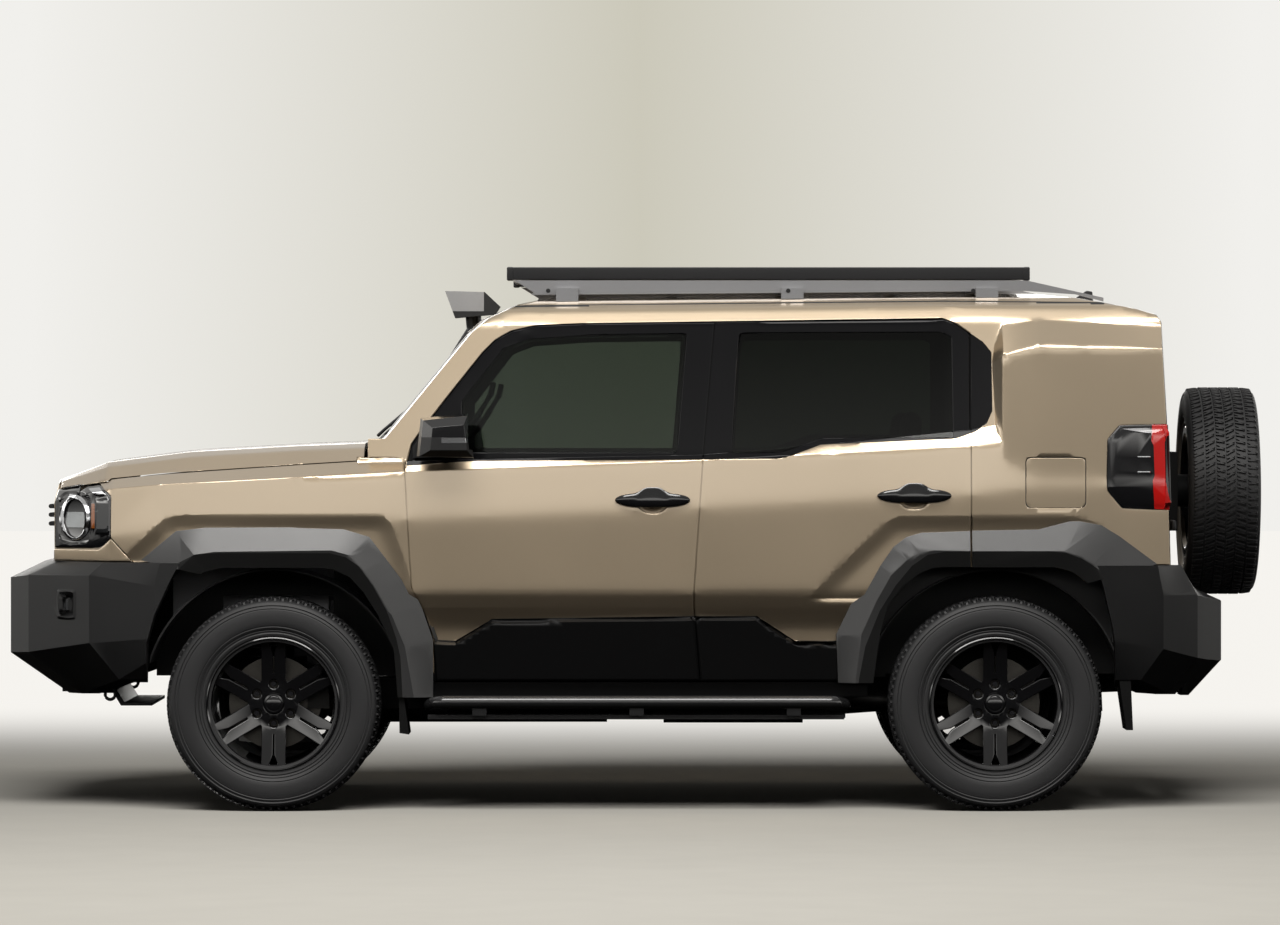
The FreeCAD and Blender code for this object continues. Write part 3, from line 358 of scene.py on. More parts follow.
def groove(bm, outline, side, width, depth, slot):
    """A narrow channel pressed along an outline, with the panel inside it left proud."""
    cut_outline(bm, outline, side)
    inside = inside_faces(bm, outline, side)
    ring = bmesh.ops.inset_region(bm, faces=inside, thickness=width, depth=0.0, use_even_offset=True,
                                  use_boundary=True)["faces"]
    for f in ring:
        f.material_index = slot
    sunk = bmesh.ops.extrude_face_region(bm, geom=ring)["geom"]
    bmesh.ops.translate(bm, verts=points_of(sunk), vec=(0, -side * depth, 0))
    bmesh.ops.delete(bm, geom=ring, context="FACES_ONLY")


# Door handle cups and the fuel flap, in millimetres: each cup's middle and half size.
CUPS = {"door_front": (-57, 1102, 52, 38), "door_rear": (-990, 1117, 52, 38)}
CUP_DEPTH = 0.014
FUEL_FLAP = rounded([(-1387, 1083), (-1605, 1083), (-1605, 1265), (-1387, 1265)], 22)


def cup(bm, x, z, wide, tall, side):
    """Presses a shallow dish into the skin behind a door handle."""
    x, z, wide, tall = x / 1000, z / 1000, wide / 1000, tall / 1000
    for _ in range(2):
        near = [f for f in bm.faces if f.normal.y * side > 0.5
                and math.hypot((f.calc_center_median().x - x) / (wide * 1.4),
                               (f.calc_center_median().z - z) / (tall * 1.4)) < 1]
        edges = list({e for f in near for e in f.edges if e.calc_length() > 0.004})
        bmesh.ops.subdivide_edges(bm, edges=edges, cuts=1, use_grid_fill=True)
    for v in bm.verts:
        t = math.hypot((v.co.x - x) / wide, (v.co.z - z) / tall)
        if t < 1 and v.normal.y * side > FACING:
            v.co.y -= side * CUP_DEPTH * (1 - t * t) ** 0.6


# Where the finishes of a side change, in metres: inner trim starts at CABIN_WALL from the middle,
# the sill is clad up to SILL_FOOT, its ends up to SILL_END, and the cladding's top has two levels.
CABIN_WALL, SILL_FOOT, SILL_END, CLADDING_TOPS = 0.74, 0.49, 0.69, (0.612, 0.697)
BAND, CLAD, INNER = 1, 2, 3     # material slots after the paint's own
# Skin that is pressed: what leans out by SKIN_LEAN to the side, or up above TOP_FROM, or to the
# front or rear beyond ENDS_FROM.
SKIN_LEAN, TOP_FROM, ENDS_FROM = 0.45, 1.05, 1.85


def painted(node):
    """One body panel, painted, with its black band and cladding where it has them."""
    bm = merged(node)
    roll(bm, 58, 180, 0.0020, 2)
    side = 1 if "left" in node else -1

    def outward(f):
        x, y, z = f.calc_center_median()
        return (f.normal.y * y > 0 and abs(f.normal.y) > SKIN_LEAN
                or f.normal.z > SKIN_LEAN and z > TOP_FROM
                or f.normal.x * x > 0 and abs(f.normal.x) > SKIN_LEAN and abs(x) > ENDS_FROM)
    pressed(bm, outward)
    if "door" in node or "side" in node:
        for level in CLADDING_TOPS:
            sliced(bm, (0, 0, level), (0, 0, 1))
        cut_outline(bm, WINDOW_BAND, side)
        cut_outline(bm, CLADDING, side)
        undercut(bm, side)
        for face in bm.faces:
            x, y, z = face.calc_center_median()
            if within(WINDOW_BAND, x, z) and face.normal.y * side > -0.2 and abs(y) > CABIN_WALL:
                face.material_index = BAND
            elif within(CLADDING, x, z) or z < SILL_FOOT or z < SILL_END and abs(face.normal.x) > 0.6:
                face.material_index = CLAD
            elif face.normal.y * side < -0.2 or abs(y) < CABIN_WALL:
                face.material_index = INNER
    if node == "wings" or "door_rear" in node or "side" in node:
        for way in (1, -1) if node == "wings" else (side,):
            tucked(bm, way)
    for door, place in CUPS.items():
        if node.startswith(door):
            cup(bm, *place, side)
    if "side" in node and side > 0:
        groove(bm, FUEL_FLAP, side, 0.0035, 0.005, INNER)
    piece(node + "_skin", bm, [champagne, band_black, cladding, trim_dark], body_of_node[node],
          sharp=40, replaces=[node])


for node in ("body_side_left", "body_side_right", "door_front_left", "door_front_right",
             "door_rear_left", "door_rear_right", "wings", "bonnet", "nose", "roof", "tailgate"):
    painted(node)

# ---- Glass ----------------------------------------------------------------------------------
# Tempered side and rear panes and a laminated windscreen, all tinted, the rear ones darker. Each
# pane keeps the frame's own shape.


def glass(name, colour):
    """Clear glass with a tint."""
    material = bpy.data.materials.new(name)
    material.use_nodes = True
    pane = material.node_tree.nodes["Principled BSDF"].inputs
    pane["Base Color"].default_value = (*colour, 1)
    pane["Roughness"].default_value = 0.0
    pane["IOR"].default_value = 1.30
    pane["Transmission Weight"].default_value = 1.0
    return material


tinted_glass = glass("tinted_glass", (0.20, 0.235, 0.205))
privacy_glass = glass("privacy_glass", (0.055, 0.068, 0.055))


def dress(node, material):
    """A frame node that keeps its own shape gets its material."""
    mesh = nodes[node].data
    mesh.materials.clear()
    mesh.materials.append(material)


for node in ("glass_front_left", "glass_front_right", "windscreen"):
    dress(node, tinted_glass)
for node in ("glass_rear_left", "glass_rear_right", "gate_glass"):
    dress(node, privacy_glass)

# ---- Moulded bumpers, flares and flaps ------------------------------------------------------
# Injection-moulded plastic with a fine grain: near black on the bumpers, a shade greyer on the
# arch flares. The flaps are sheet rubber.
bumper_black = finish_material("bumper_grain", (0.006, 0.006, 0.0065), 0.42, grain=1100.0, tone=0.25,
                               bump=0.3, depth=0.0003)
flare_grey = finish_material("flare_grain", (0.012, 0.012, 0.0125), 0.36, grain=1100.0, tone=0.2,
                             bump=0.3, depth=0.0003, Specular_IOR_Level=0.8)
flap_rubber = finish_material("flap_rubber", (0.003, 0.003, 0.003), 0.65, grain=500.0, tone=0.3,
                              Specular_IOR_Level=0.15)
bumper_deep = finish_material("bumper_grain_deep", (0.0025, 0.0025, 0.0028), 0.40, grain=1100.0,
                              tone=0.25, bump=0.3, depth=0.0003, Specular_IOR_Level=0.3)


def moulded(node, material, radius):
    """A frame node in one material, with every edge rounded as a mould leaves it."""
    bm = merged(node)
    roll(bm, 12, 180, radius, 3)
    piece(node + "_moulding", bm, [material], body_of_node[node], sharp=38, replaces=[node])


moulded("rear_bumper", bumper_deep, 0.007)
moulded("mud_flaps", flap_rubber, 0.002)

# Snorkel: a black stem, and a raked head with satin grey cheeks between its base and its wedge.
snorkel_grey = finish_material("snorkel_satin_grey", (0.36, 0.36, 0.365), 0.42, grain=900.0, tone=0.2,
                               bump=0.2, Metallic=0.85)
# The head, in metres: its front face, foot and top, the rake of that face, and where the cheeks end.
HEAD_FRONT, HEAD_FOOT, HEAD_TOP, HEAD_RAKE = 0.70, 1.75, 1.889, 0.37
HEAD_BASE, WEDGE_FRONT = 1.812, 0.583
bm = merged("snorkel")
for v in bm.verts:
    if v.co.x > HEAD_FRONT and v.co.z > HEAD_FOOT:
        v.co.x -= HEAD_RAKE * (HEAD_TOP - v.co.z)
roll(bm, 12, 180, 0.005, 3)
sliced(bm, (0, 0, HEAD_BASE), (0, 0, 1))
sliced(bm, (WEDGE_FRONT, 0, 0), (1, 0, 0))
for face in bm.faces:
    spot = face.calc_center_median()
    face.material_index = int(spot.z > HEAD_BASE and spot.x > WEDGE_FRONT and abs(face.normal.y) > 0.5)
piece("snorkel_moulding", bm, [bumper_black, snorkel_grey], "body", sharp=38,
      replaces=["snorkel"])

# The arch flares are grey outside; where they turn in to the wheel opening they get a darker, less glossy
# copy of the same plastic, painted shade.
flare_lip = finish_material("flare_lip_painted_shade", (0.003, 0.003, 0.003), 0.5, grain=900.0, tone=0.2,
                            bump=0.2, Specular_IOR_Level=0.2)
FRONT_LIP = [(1640, 400), (1634, 888), (1574, 918), (1495, 923), (1096, 923), (1037, 908), (989, 874),
             (940, 806), (891, 718), (857, 620), (842, 552), (834, 400)]
REAR_LIP = [(-792, 400), (-792, 470), (-815, 590), (-866, 716), (-924, 808), (-981, 877), (-1038, 917),
            (-1107, 929), (-1463, 930), (-1532, 923), (-1589, 902), (-1629, 877), (-1690, 835),
            (-1690, 400)]
FRONT_AXLE, REAR_AXLE, HUB_HEIGHT = 1.298, -1.282, 0.383
for node in ("flares", "door_flare_left", "door_flare_right"):
    bm = merged(node)
    roll(bm, 25, 180, 0.005, 3)
    # faces round each wheel opening, and those turned towards the axle, take the darker copy: painted
    # shade
    for side in (1, -1):
        for outline in (FRONT_LIP, REAR_LIP):
            cut_outline(bm, outline, side)
            for face in inside_faces(bm, outline, side):
                face.material_index = 1
    for face in bm.faces:
        spot = face.calc_center_median()
        axle = FRONT_AXLE if spot.x > 0 else REAR_AXLE
        reach = Vector((spot.x - axle, 0, spot.z - HUB_HEIGHT)).normalized()
        if face.normal.dot(reach) < -0.25 or abs(face.normal.y) < 0.25 and face.normal.dot(reach) < 0.3:
            face.material_index = 1
    piece(node + "_moulding", bm, [flare_grey, flare_lip], body_of_node[node],
          sharp=38, replaces=[node])

# Front bumper: a fog lamp in a stepped bezel on each corner, and two towing eyes below. Each step
# is an outline, its border's width, its height, and the slots of its border and its middle.
fog_glass = finish_material("fog_lamp_lens", (0.32, 0.33, 0.34), 0.12, grain=500.0, tone=0.5,
                            bump=0.4, Metallic=0.7, Coat_Weight=1.0, Coat_Roughness=0.02)
bm = merged("front_bumper")
roll(bm, 12, 180, 0.007, 3)
for side in (1, -1):
    for outline, width, height, ring, inner in (
            (rounded([(2082, 682), (2010, 682), (2010, 790), (2082, 790)], 10), 0.006, 0.005, 0, 0),
            (rounded([(2074, 692), (2018, 692), (2018, 780), (2074, 780)], 8), 0.012, -0.014, 0, 0),
            (rounded([(2060, 711), (2033, 711), (2033, 760), (2060, 760)], 6), 0.004, 0.005, 0, 1)):
        stepped(bm, outline, side, width, height, ring, inner)
piece("front_bumper_moulding", bm, [bumper_black, fog_glass], "body", sharp=38,
      replaces=["front_bumper"])


TUBE_SIDES = 12


def tube(bm, path, radius, closed=False):
    """A round bar along a path of points, in millimetres."""
    spots = [Vector(p) / 1000 for p in path]
    rings = []
    for n, spot in enumerate(spots):
        before = spots[n - 1] if n or closed else spot
        after = spots[(n + 1) % len(spots)] if n + 1 < len(spots) or closed else spot
        along = (after - before).normalized()
        up = Vector((0, 0, 1)) if abs(along.z) < 0.9 else Vector((0, 1, 0))
        u = along.cross(up).normalized()
        v = u.cross(along)
        rings.append([bm.verts.new(spot + (u * math.cos(a) + v * math.sin(a)) * radius / 1000)
                      for a in (2 * math.pi * k / TUBE_SIDES for k in range(TUBE_SIDES))])
    for one, other in zip(rings, rings[1:] + rings[:closed]):
        for k in range(TUBE_SIDES):
            bm.faces.new((one[k], one[k - 1], other[k - 1], other[k]))
    if not closed:
        bm.faces.new(rings[0])
        bm.faces.new(rings[-1])
    bmesh.ops.recalc_face_normals(bm, faces=bm.faces)


def slab(bm, corners, depth, radius=1.0):
    """A flat plate with eased edges: corner points, and the vector it is drawn out by, in mm."""
    verts = [bm.verts.new(Vector(c) / 1000) for c in corners]
    face = bm.faces.new(verts)
    moved = points_of(bmesh.ops.extrude_face_region(bm, geom=[face])["geom"])
    bmesh.ops.translate(bm, verts=moved, vec=Vector(depth) / 1000)
    faces = {f for v in verts + moved for f in v.link_faces}
    bmesh.ops.recalc_face_normals(bm, faces=list(faces))
    if radius:
        eased(bm, list({e for f in faces for e in f.edges}), radius / 1000, 2)


def oval(x, z, wide, tall, steps=36):
    """The points of a circle or oval round (x, z), from its half width and half height."""
    return [(x + wide * math.cos(2 * math.pi * n / steps), z + tall * math.sin(2 * math.pi * n / steps))
            for n in range(steps)]


towing = bmesh.new()
for side in (1, -1):
    tube(towing, [(x, side * 560, z) for x, z in oval(1905, 404, 18, 18, 20)], 6, closed=True)
piece("towing_eyes", towing, [bumper_black], "body")

# ---- Lamps, grille and mirrors --------------------------------------------------------------
# Each lamp is its own housing with stepped bezels, bright rings and coloured lenses cut into it.
lamp_black = finish_material("lamp_housing", (0.008, 0.008, 0.009), 0.14, tone=0.2, bump=0.0,
                             Coat_Weight=0.6, Coat_Roughness=0.03)
chrome = finish_material("lamp_chrome", (0.62, 0.63, 0.65), 0.14, tone=0.15, bump=0.0, Metallic=1.0)
lens_dark = finish_material("lamp_lens_dark", (0.030, 0.032, 0.034), 0.08, tone=0.2, bump=0.0,
                            Coat_Weight=1.0, Coat_Roughness=0.02)
reflector = finish_material("lamp_reflector", (0.40, 0.42, 0.43), 0.18, grain=300.0, tone=0.4,
                            bump=0.3, Metallic=0.8, Coat_Weight=1.0, Coat_Roughness=0.02)
amber = finish_material("marker_amber", (0.40, 0.11, 0.015), 0.15, grain=400.0, tone=0.3, bump=0.3,
                        Coat_Weight=1.0, Coat_Roughness=0.02)
tail_red = finish_material("tail_lens_red", (0.62, 0.012, 0.010), 0.14, grain=500.0, tone=0.15,
                           bump=0.15, Coat_Weight=1.0, Coat_Roughness=0.02)


def held_back(bm, node):
    """Keeps a piece from standing past its node's front face."""
    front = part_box(node)[1].x
    for v in bm.verts:
        v.co.x = min(v.co.x, front)


# Side-view outlines on the headlamp, in millimetres. Material slots: 0 is the housing, 1 a bright
# ring, 2 the dark lens, 3 the reflector behind it and 4 the amber marker.
LAMP_FACE = rounded([(2085, 950), (1962, 950), (1962, 1140), (2085, 1140)], 40, 6)
LENS_GLOW = [(2070, 1011), (1980, 1011), (1980, 1066), (2070, 1066)]
RUNNING_BLOCK = [(1937, 990), (1890, 990), (1886, 1000), (1886, 1106), (1890, 1114), (1937, 1114)]
MARKER = [(1958, 1008), (1945, 1008), (1945, 1097), (1958, 1097)]
# A chamfer over the marker and running block, in the bright ring's chrome: a painted highlight.
LAMP_HIGHLIGHT_FACET = [(1972, 1150), (1928, 1155), (1898, 1126), (1938, 1124)]
bm = merged("headlamps")
roll(bm, 30, 180, 0.004, 2)
for side in (1, -1):
    stepped(bm, LAMP_FACE, side, 0.004, -0.006, 0, 0)
    stepped(bm, oval(2018, 1044, 56, 82), side, 0.005, 0.012, 1, 1)
    stepped(bm, oval(2022, 1044, 44, 70), side, 0.003, -0.008, 0, 2)
    cut_outline(bm, LENS_GLOW, side)
    for face in inside_faces(bm, LENS_GLOW, side):
        if face.material_index == 2:
            face.material_index = 3
    stepped(bm, MARKER, side, 0.0015, 0.003, 4, 4)
    stepped(bm, RUNNING_BLOCK, side, 0.004, 0.004, 0, 2)
    # the chamfer's chrome is a painted highlight
    stepped(bm, LAMP_HIGHLIGHT_FACET, side, 0.002, 0.002, 1, 1)
held_back(bm, "headlamps")
piece("headlamp_units", bm, [lamp_black, chrome, lens_dark, reflector, amber], "body",
      sharp=30, replaces=["headlamps"])

# Grille: three round-edged bars, in metres, whose ends bend back behind the lamps.
BAR_HEIGHTS, BAR_HALF, BAR_FRONT = (1.021, 1.053, 1.084), 0.009, 2.15
END_FRONT, END_START, END_LENGTH, END_BEND = 2.10, 0.40, 0.03, 0.026
bm = merged("grille")
eased(bm, [e for e in bm.edges if abs(e.verts[0].co.y - e.verts[1].co.y) > 0.5
           and min(abs(v.co.z - z) for v in e.verts for z in BAR_HEIGHTS) < BAR_HALF
           and min(v.co.x for v in e.verts) > BAR_FRONT], 0.0072, 4)
for v in bm.verts:
    if v.co.x > END_FRONT and abs(v.co.y) > END_START:
        v.co.x -= END_BEND * min(1.0, (abs(v.co.y) - END_START) / END_LENGTH) ** 0.5
held_back(bm, "grille")
piece("grille_bars", bm, [bumper_black], "body", sharp=45, replaces=["grille"])

# Tail lamps: a raised black housing with two bright ticks, and a red lens round the corner.
TAIL_CORNER = 0.78      # the rear face is red from here outwards, in metres
TAIL_FACE = [(-1694, 1318), (-1732, 1366), (-1905, 1368), (-1905, 1086), (-1738, 1096), (-1694, 1152)]
TAIL_RED = [(-1842, 1390), (-1838, 1322), (-1846, 1306), (-1850, 1200), (-1843, 1180), (-1850, 1070),
            (-1916, 1070), (-1916, 1100), (-1903, 1112), (-1889, 1178), (-1886, 1318), (-1894, 1340),
            (-1916, 1346), (-1916, 1390)]
bm = merged("tail_lamps")
roll(bm, 40, 180, 0.003, 2)
for side in (1, -1):
    stepped(bm, TAIL_FACE, side, 0.016, 0.009, 0, 0)
    for z in (1265, 1211):
        tick = [(-1788, z - 3), (-1834, z - 3), (-1834, z + 3), (-1788, z + 3)]
        stepped(bm, tick, side, 0.001, 0.001, 1, 1)
    cut_outline(bm, TAIL_RED, side)
    for face in inside_faces(bm, TAIL_RED, side):
        face.material_index = 2
for face in bm.faces:
    spot = face.calc_center_median()
    if face.normal.x < -0.6 and abs(spot.y) > TAIL_CORNER:
        face.material_index = 2
piece("tail_lamp_units", bm, [lamp_black, chrome, tail_red], "body", sharp=30,
      replaces=["tail_lamps"])

# Mirrors: gloss cap over a dark gap, a bright strip on the rear half, grained black below.
mirror_glass = finish_material("mirror_glass", (0.75, 0.78, 0.80), 0.02, tone=0.0, bump=0.0,
                               Metallic=1.0)
MIRROR_STRIP = [(690, 1316), (574, 1316), (574, 1334), (690, 1334)]
MIRROR_GAP = [(800, 1336), (560, 1336), (560, 1342), (800, 1342)]
CAP_FOOT = 1.336
PANE_REAR, PANE_FRONT, PANE_INNER = 0.602, 0.66, 0.94   # where the mirror's pane lies, in metres
for node in ("mirror_left", "mirror_right"):
    bm = merged(node)
    roll(bm, 20, 180, 0.007, 3)
    side = 1 if "left" in node else -1
    cut_outline(bm, MIRROR_STRIP, side)
    cut_outline(bm, MIRROR_GAP, side)
    for face in bm.faces:
        x, y, z = face.calc_center_median()
        face.material_index = 2 if z < CAP_FOOT else 0
        if within(MIRROR_STRIP, x, z) and face.normal.y * side > FACING:
            face.material_index = 1
        if face.normal.x < -0.8 and PANE_REAR < x < PANE_FRONT and abs(y) > PANE_INNER:
            face.material_index = 3
    piece(node + "_head", bm, [lamp_black, chrome, bumper_black, mirror_glass], body_of_node[node],
          sharp=35, replaces=[node])


def bar(bm, low, high, radius):
    """A box with eased edges between its lowest and highest corners, in millimetres."""
    low, high = Vector(low) / 1000, Vector(high) / 1000
    made = bmesh.ops.create_cube(bm, size=1.0)["verts"]
    bmesh.ops.scale(bm, verts=made, vec=high - low)
    bmesh.ops.translate(bm, verts=made, vec=(low + high) / 2)
    eased(bm, list({e for v in made for e in v.link_edges}), radius / 1000, 2)


# Pull handles, in metres: a long rounded grip with a raised middle, and a foot at each end. Its
# half height and thickness, the height and half length of its middle, and how far its ends turn in.
GRIP_TALL, GRIP_THICK, GRIP_RAISED, GRIP_MIDDLE, GRIP_TURN = 0.025, 0.009, 0.020, 0.34, 0.016
FOOT_HALF = Vector((14, 25, 11))    # half size of a foot, in millimetres


def grip_mesh(low, high, side):
    """One grip that fills its node's box: a round bar cut into rings, each ring shaped."""
    middle, reach = (low.x + high.x) / 2, (high.x - low.x) / 2
    height = (low.z + high.z) / 2 - 0.012
    face = max(abs(low.y), abs(high.y))
    bm = bmesh.new()
    bmesh.ops.create_cone(bm, cap_ends=True, segments=20, radius1=1, radius2=1, depth=2)
    long_edges = [e for e in bm.edges if abs(e.verts[0].co.z - e.verts[1].co.z) > 1]
    bmesh.ops.subdivide_edges(bm, edges=long_edges, cuts=39)
    for v in bm.verts:
        up, out, t = -v.co.x, v.co.y, math.sin(math.pi * v.co.z / 2)
        tall = GRIP_TALL * max(0.0, 1 - abs(t) ** 3.2) ** 0.5 + 0.0005
        raised = GRIP_RAISED * math.exp(-(t / GRIP_MIDDLE) ** 4)
        thick = GRIP_THICK * (1 - 0.5 * max(0.0, up) * (raised > 0.004))
        v.co = (middle + reach * t, side * (face - GRIP_THICK - GRIP_TURN * t ** 4 + thick * out),
                height + tall * up + raised * max(0.0, up) ** 1.5)
    for way in (-1, 1):
        spot = Vector((middle + way * (reach - 0.024), side * (face - 0.040), height)) * 1000
        bar(bm, spot - FOOT_HALF, spot + FOOT_HALF, 4)
    bmesh.ops.recalc_face_normals(bm, faces=bm.faces)
    return bm


for node in [n for n in nodes if n.startswith("handle_")]:
    low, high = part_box(node)
    piece(node + "_grip", grip_mesh(low, high, 1 if "left" in node else -1), [lamp_black],
          body_of_node[node], sharp=45, replaces=[node])

# ---- Wheels ---------------------------------------------------------------------------------
# Cast alloy wheels in gloss black, 18 inch: six twin spokes with a slot down the middle of each,
# six nuts in pockets, a plain cap, and a disc brake behind.
wheel_black = finish_material("wheel_gloss_black", (0.008, 0.008, 0.009), 0.13, tone=0.2, bump=0.02,
                              Metallic=0.2, Coat_Weight=0.8, Coat_Roughness=0.03)
disc_steel = finish_material("brake_disc_steel", (0.085, 0.080, 0.072), 0.35, grain=150.0, tone=0.3,
                             Metallic=0.9)
nut_chrome = finish_material("nut_dark_chrome", (0.05, 0.05, 0.055), 0.2, Metallic=0.9)


def edge_loop(bm, points):
    """A closed loop of edges through (across, up) points in the wheel's middle plane."""
    verts = [bm.verts.new((u, 0.0, v)) for u, v in points]
    for a, b in zip(verts, verts[1:] + verts[:1]):
        bm.edges.new((a, b))


def turned(points, degrees):
    """Points turned about the wheel's axis."""
    c, s = math.cos(math.radians(degrees)), math.sin(math.radians(degrees))
    return [(u * c - v * s, u * s + v * c) for u, v in points]


def lathe(bm, profile, steps=96):
    """Spins a closed (radius, y) profile about the wheel's axis."""
    start = [bm.verts.new((r, y, 0)) for r, y in profile]
    edges = [bm.edges.new(pair) for pair in zip(start, start[1:] + start[:1])]
    bmesh.ops.spin(bm, geom=start + edges, cent=(0, 0, 0), axis=(0, 1, 0), dvec=(0, 0, 0),
                   angle=2 * math.pi, steps=steps, use_merge=True)


# The cast face, in metres: its radius and thickness, its bore, the circle that the nuts stand on,
# and the dish, which starts near the hub and lifts the outer ends of the spokes.
FACE_RADIUS, FACE_THICK, BORE_RADIUS, NUT_CIRCLE, POCKET_RADIUS = 0.230, 0.030, 0.036, 0.070, 0.0165
FACE_BACK, DISH_START, DISH_WIDTH, DISH_RISE, DISH_CURVE = 0.036, 0.085, 0.135, 0.030, 1.3
SPOKE_SLOT = [(0.110, -0.0022), (0.110, 0.0022), (0.182, 0.0030), (0.217, 0.0155), (0.217, -0.0155),
              (0.182, -0.0030)]
# The window between two spokes runs out along one spoke, round an arc, and back along the next.
WINDOW_SIDE = [(0.082, 0.044), (0.15, 0.0435)]
WINDOW_BACK = [(0.15, -0.0435), (0.082, -0.044)]
WINDOW_RADIUS, WINDOW_START = 0.219, math.degrees(math.atan2(0.044, 0.2145))
WINDOW_ARC = [turned([(WINDOW_RADIUS, 0.0)], WINDOW_START + (60 - 2 * WINDOW_START) * k / 8)[0]
              for k in range(9)]
SPOKES = [60 * n + 30 for n in range(6)]    # the spokes' angles, in degrees


def wheel_mesh():
    """The cast wheel, its outer face towards +Y."""
    bm = bmesh.new()
    # the spoked face is a flat plate with its windows, slots and pockets, dished afterwards
    edge_loop(bm, oval(0.0, 0.0, FACE_RADIUS, FACE_RADIUS, 120))
    for angle in SPOKES:
        edge_loop(bm, turned(WINDOW_SIDE + WINDOW_ARC + turned(WINDOW_BACK, 60), angle))
        edge_loop(bm, turned(SPOKE_SLOT, angle))
        nut = turned([(NUT_CIRCLE, 0.0)], angle)[0]
        edge_loop(bm, oval(*nut, POCKET_RADIUS, POCKET_RADIUS, 14))
    edge_loop(bm, oval(0.0, 0.0, BORE_RADIUS, BORE_RADIUS, 36))
    bmesh.ops.triangle_fill(bm, edges=bm.edges, use_dissolve=False, use_beauty=True)
    bmesh.ops.recalc_face_normals(bm, faces=bm.faces)
    if bm.faces[0].normal.y < 0:
        bmesh.ops.reverse_faces(bm, faces=bm.faces)
    front = points_of(bmesh.ops.extrude_face_region(bm, geom=bm.faces[:])["geom"])
    bmesh.ops.translate(bm, verts=front, vec=(0, FACE_THICK, 0))
    bmesh.ops.recalc_face_normals(bm, faces=bm.faces)
    eased(bm, [e for e in bm.edges if all(v.co.y > FACE_THICK - 0.001 for v in e.verts)
               and len(e.link_faces) == 2 and e.calc_face_angle(0.0) > 1.0], 0.0042, 3)
    for v in bm.verts:
        out = (math.hypot(v.co.x, v.co.z) - DISH_START) / DISH_WIDTH
        v.co.y += FACE_BACK + DISH_RISE * min(1.0, max(0.0, out)) ** DISH_CURVE
    # barrel, with its bead seats and lips
    lathe(bm, [(0.206, -0.108), (0.214, -0.1215), (0.236, -0.1215), (0.2395, -0.119), (0.239, -0.113),
               (0.224, -0.111), (0.2225, -0.080), (0.2225, 0.088), (0.224, 0.111), (0.239, 0.113),
               (0.2395, 0.119), (0.2355, 0.1215), (0.231, 0.117), (0.229, 0.104), (0.222, 0.096),
               (0.2185, 0.080), (0.2165, -0.02)])
    # cap, a plain domed cover in a raised collar
    lathe(bm, [(0.0, 0.060), (0.0, 0.0765), (0.012, 0.0762), (0.023, 0.0745), (0.027, 0.0725),
               (0.0285, 0.0755), (0.0345, 0.0745), (0.036, 0.060)], 40)
    return bm


def nuts_mesh():
    """Six nuts, each down in its pocket."""
    bm = bmesh.new()
    for angle in SPOKES:
        u, v = turned([(NUT_CIRCLE, 0.0)], angle)[0]
        nut = bmesh.ops.create_cone(bm, cap_ends=True, segments=6, radius1=0.0105, radius2=0.0095,
                                    depth=0.028)["verts"]
        bmesh.ops.rotate(bm, verts=nut, cent=(0, 0, 0), matrix=Matrix.Rotation(math.radians(-90), 3, "X"))
        bmesh.ops.translate(bm, verts=nut, vec=(u, 0.050, v))
    return bm


def brake_mesh():
    """A vented disc on its hub."""
    bm = bmesh.new()
    lathe(bm, [(0.050, -0.046), (0.165, -0.046), (0.165, -0.038), (0.092, -0.038), (0.092, -0.032),
               (0.165, -0.032), (0.165, -0.024), (0.088, -0.024), (0.084, 0.004), (0.050, 0.004)], 72)
    lathe(bm, [(0.0, -0.04), (0.0, 0.036), (0.052, 0.036), (0.052, -0.04)], 40)
    return bm


def placed(bm, centre, spare, left):
    """Turns a wheel part to its side of the car and moves it to its centre."""
    bmesh.ops.remove_doubles(bm, verts=bm.verts, dist=1e-6)
    stray = [e for e in bm.edges if not e.link_faces]
    bmesh.ops.delete(bm, geom=stray, context="EDGES")
    if spare:
        turn = Matrix.Rotation(math.radians(90), 4, "Z")
    else:
        turn = Matrix.Identity(4) if left else Matrix.Rotation(math.radians(180), 4, "Z")
    bmesh.ops.transform(bm, matrix=Matrix.Translation(centre) @ turn, verts=bm.verts)
    bmesh.ops.recalc_face_normals(bm, faces=bm.faces)
    return bm


# Tyres: 265/60 R18, with raised rings on each sidewall and six rows of tread blocks.
tyre_rubber = finish_material("tyre_rubber", (0.015, 0.015, 0.016), 0.58, grain=260.0, tone=0.3,
                              bump=0.25)
SIDEWALL = [(0.2225, 0.1115), (0.232, 0.1135), (0.243, 0.1165), (0.2445, 0.1225), (0.252, 0.1240),
            (0.256, 0.1222), (0.262, 0.1248), (0.2645, 0.1228), (0.267, 0.1258), (0.275, 0.1290),
            (0.278, 0.1268), (0.281, 0.1296), (0.296, 0.1318), (0.316, 0.1322), (0.336, 0.1302),
            (0.339, 0.1280), (0.342, 0.1294), (0.350, 0.1262), (0.3535, 0.1285), (0.362, 0.1252),
            (0.369, 0.1180), (0.3735, 0.1060)]
CROWN = [(0.3745, 0.06), (0.3745, 0.0), (0.3745, -0.06)]
# Tread rows, one pitch: middle and half width across, half length round, lean, then phase.
TREAD = [(-0.0945, 0.0150, 0.0100, 0.004, 0.0), (-0.0560, 0.0175, 0.0105, 0.007, 0.45),
         (-0.0180, 0.0160, 0.0110, -0.006, 0.15), (0.0180, 0.0160, 0.0110, 0.006, 0.65),
         (0.0560, 0.0175, 0.0105, -0.007, 0.30), (0.0945, 0.0150, 0.0100, -0.004, 0.80)]
PITCHES = 84
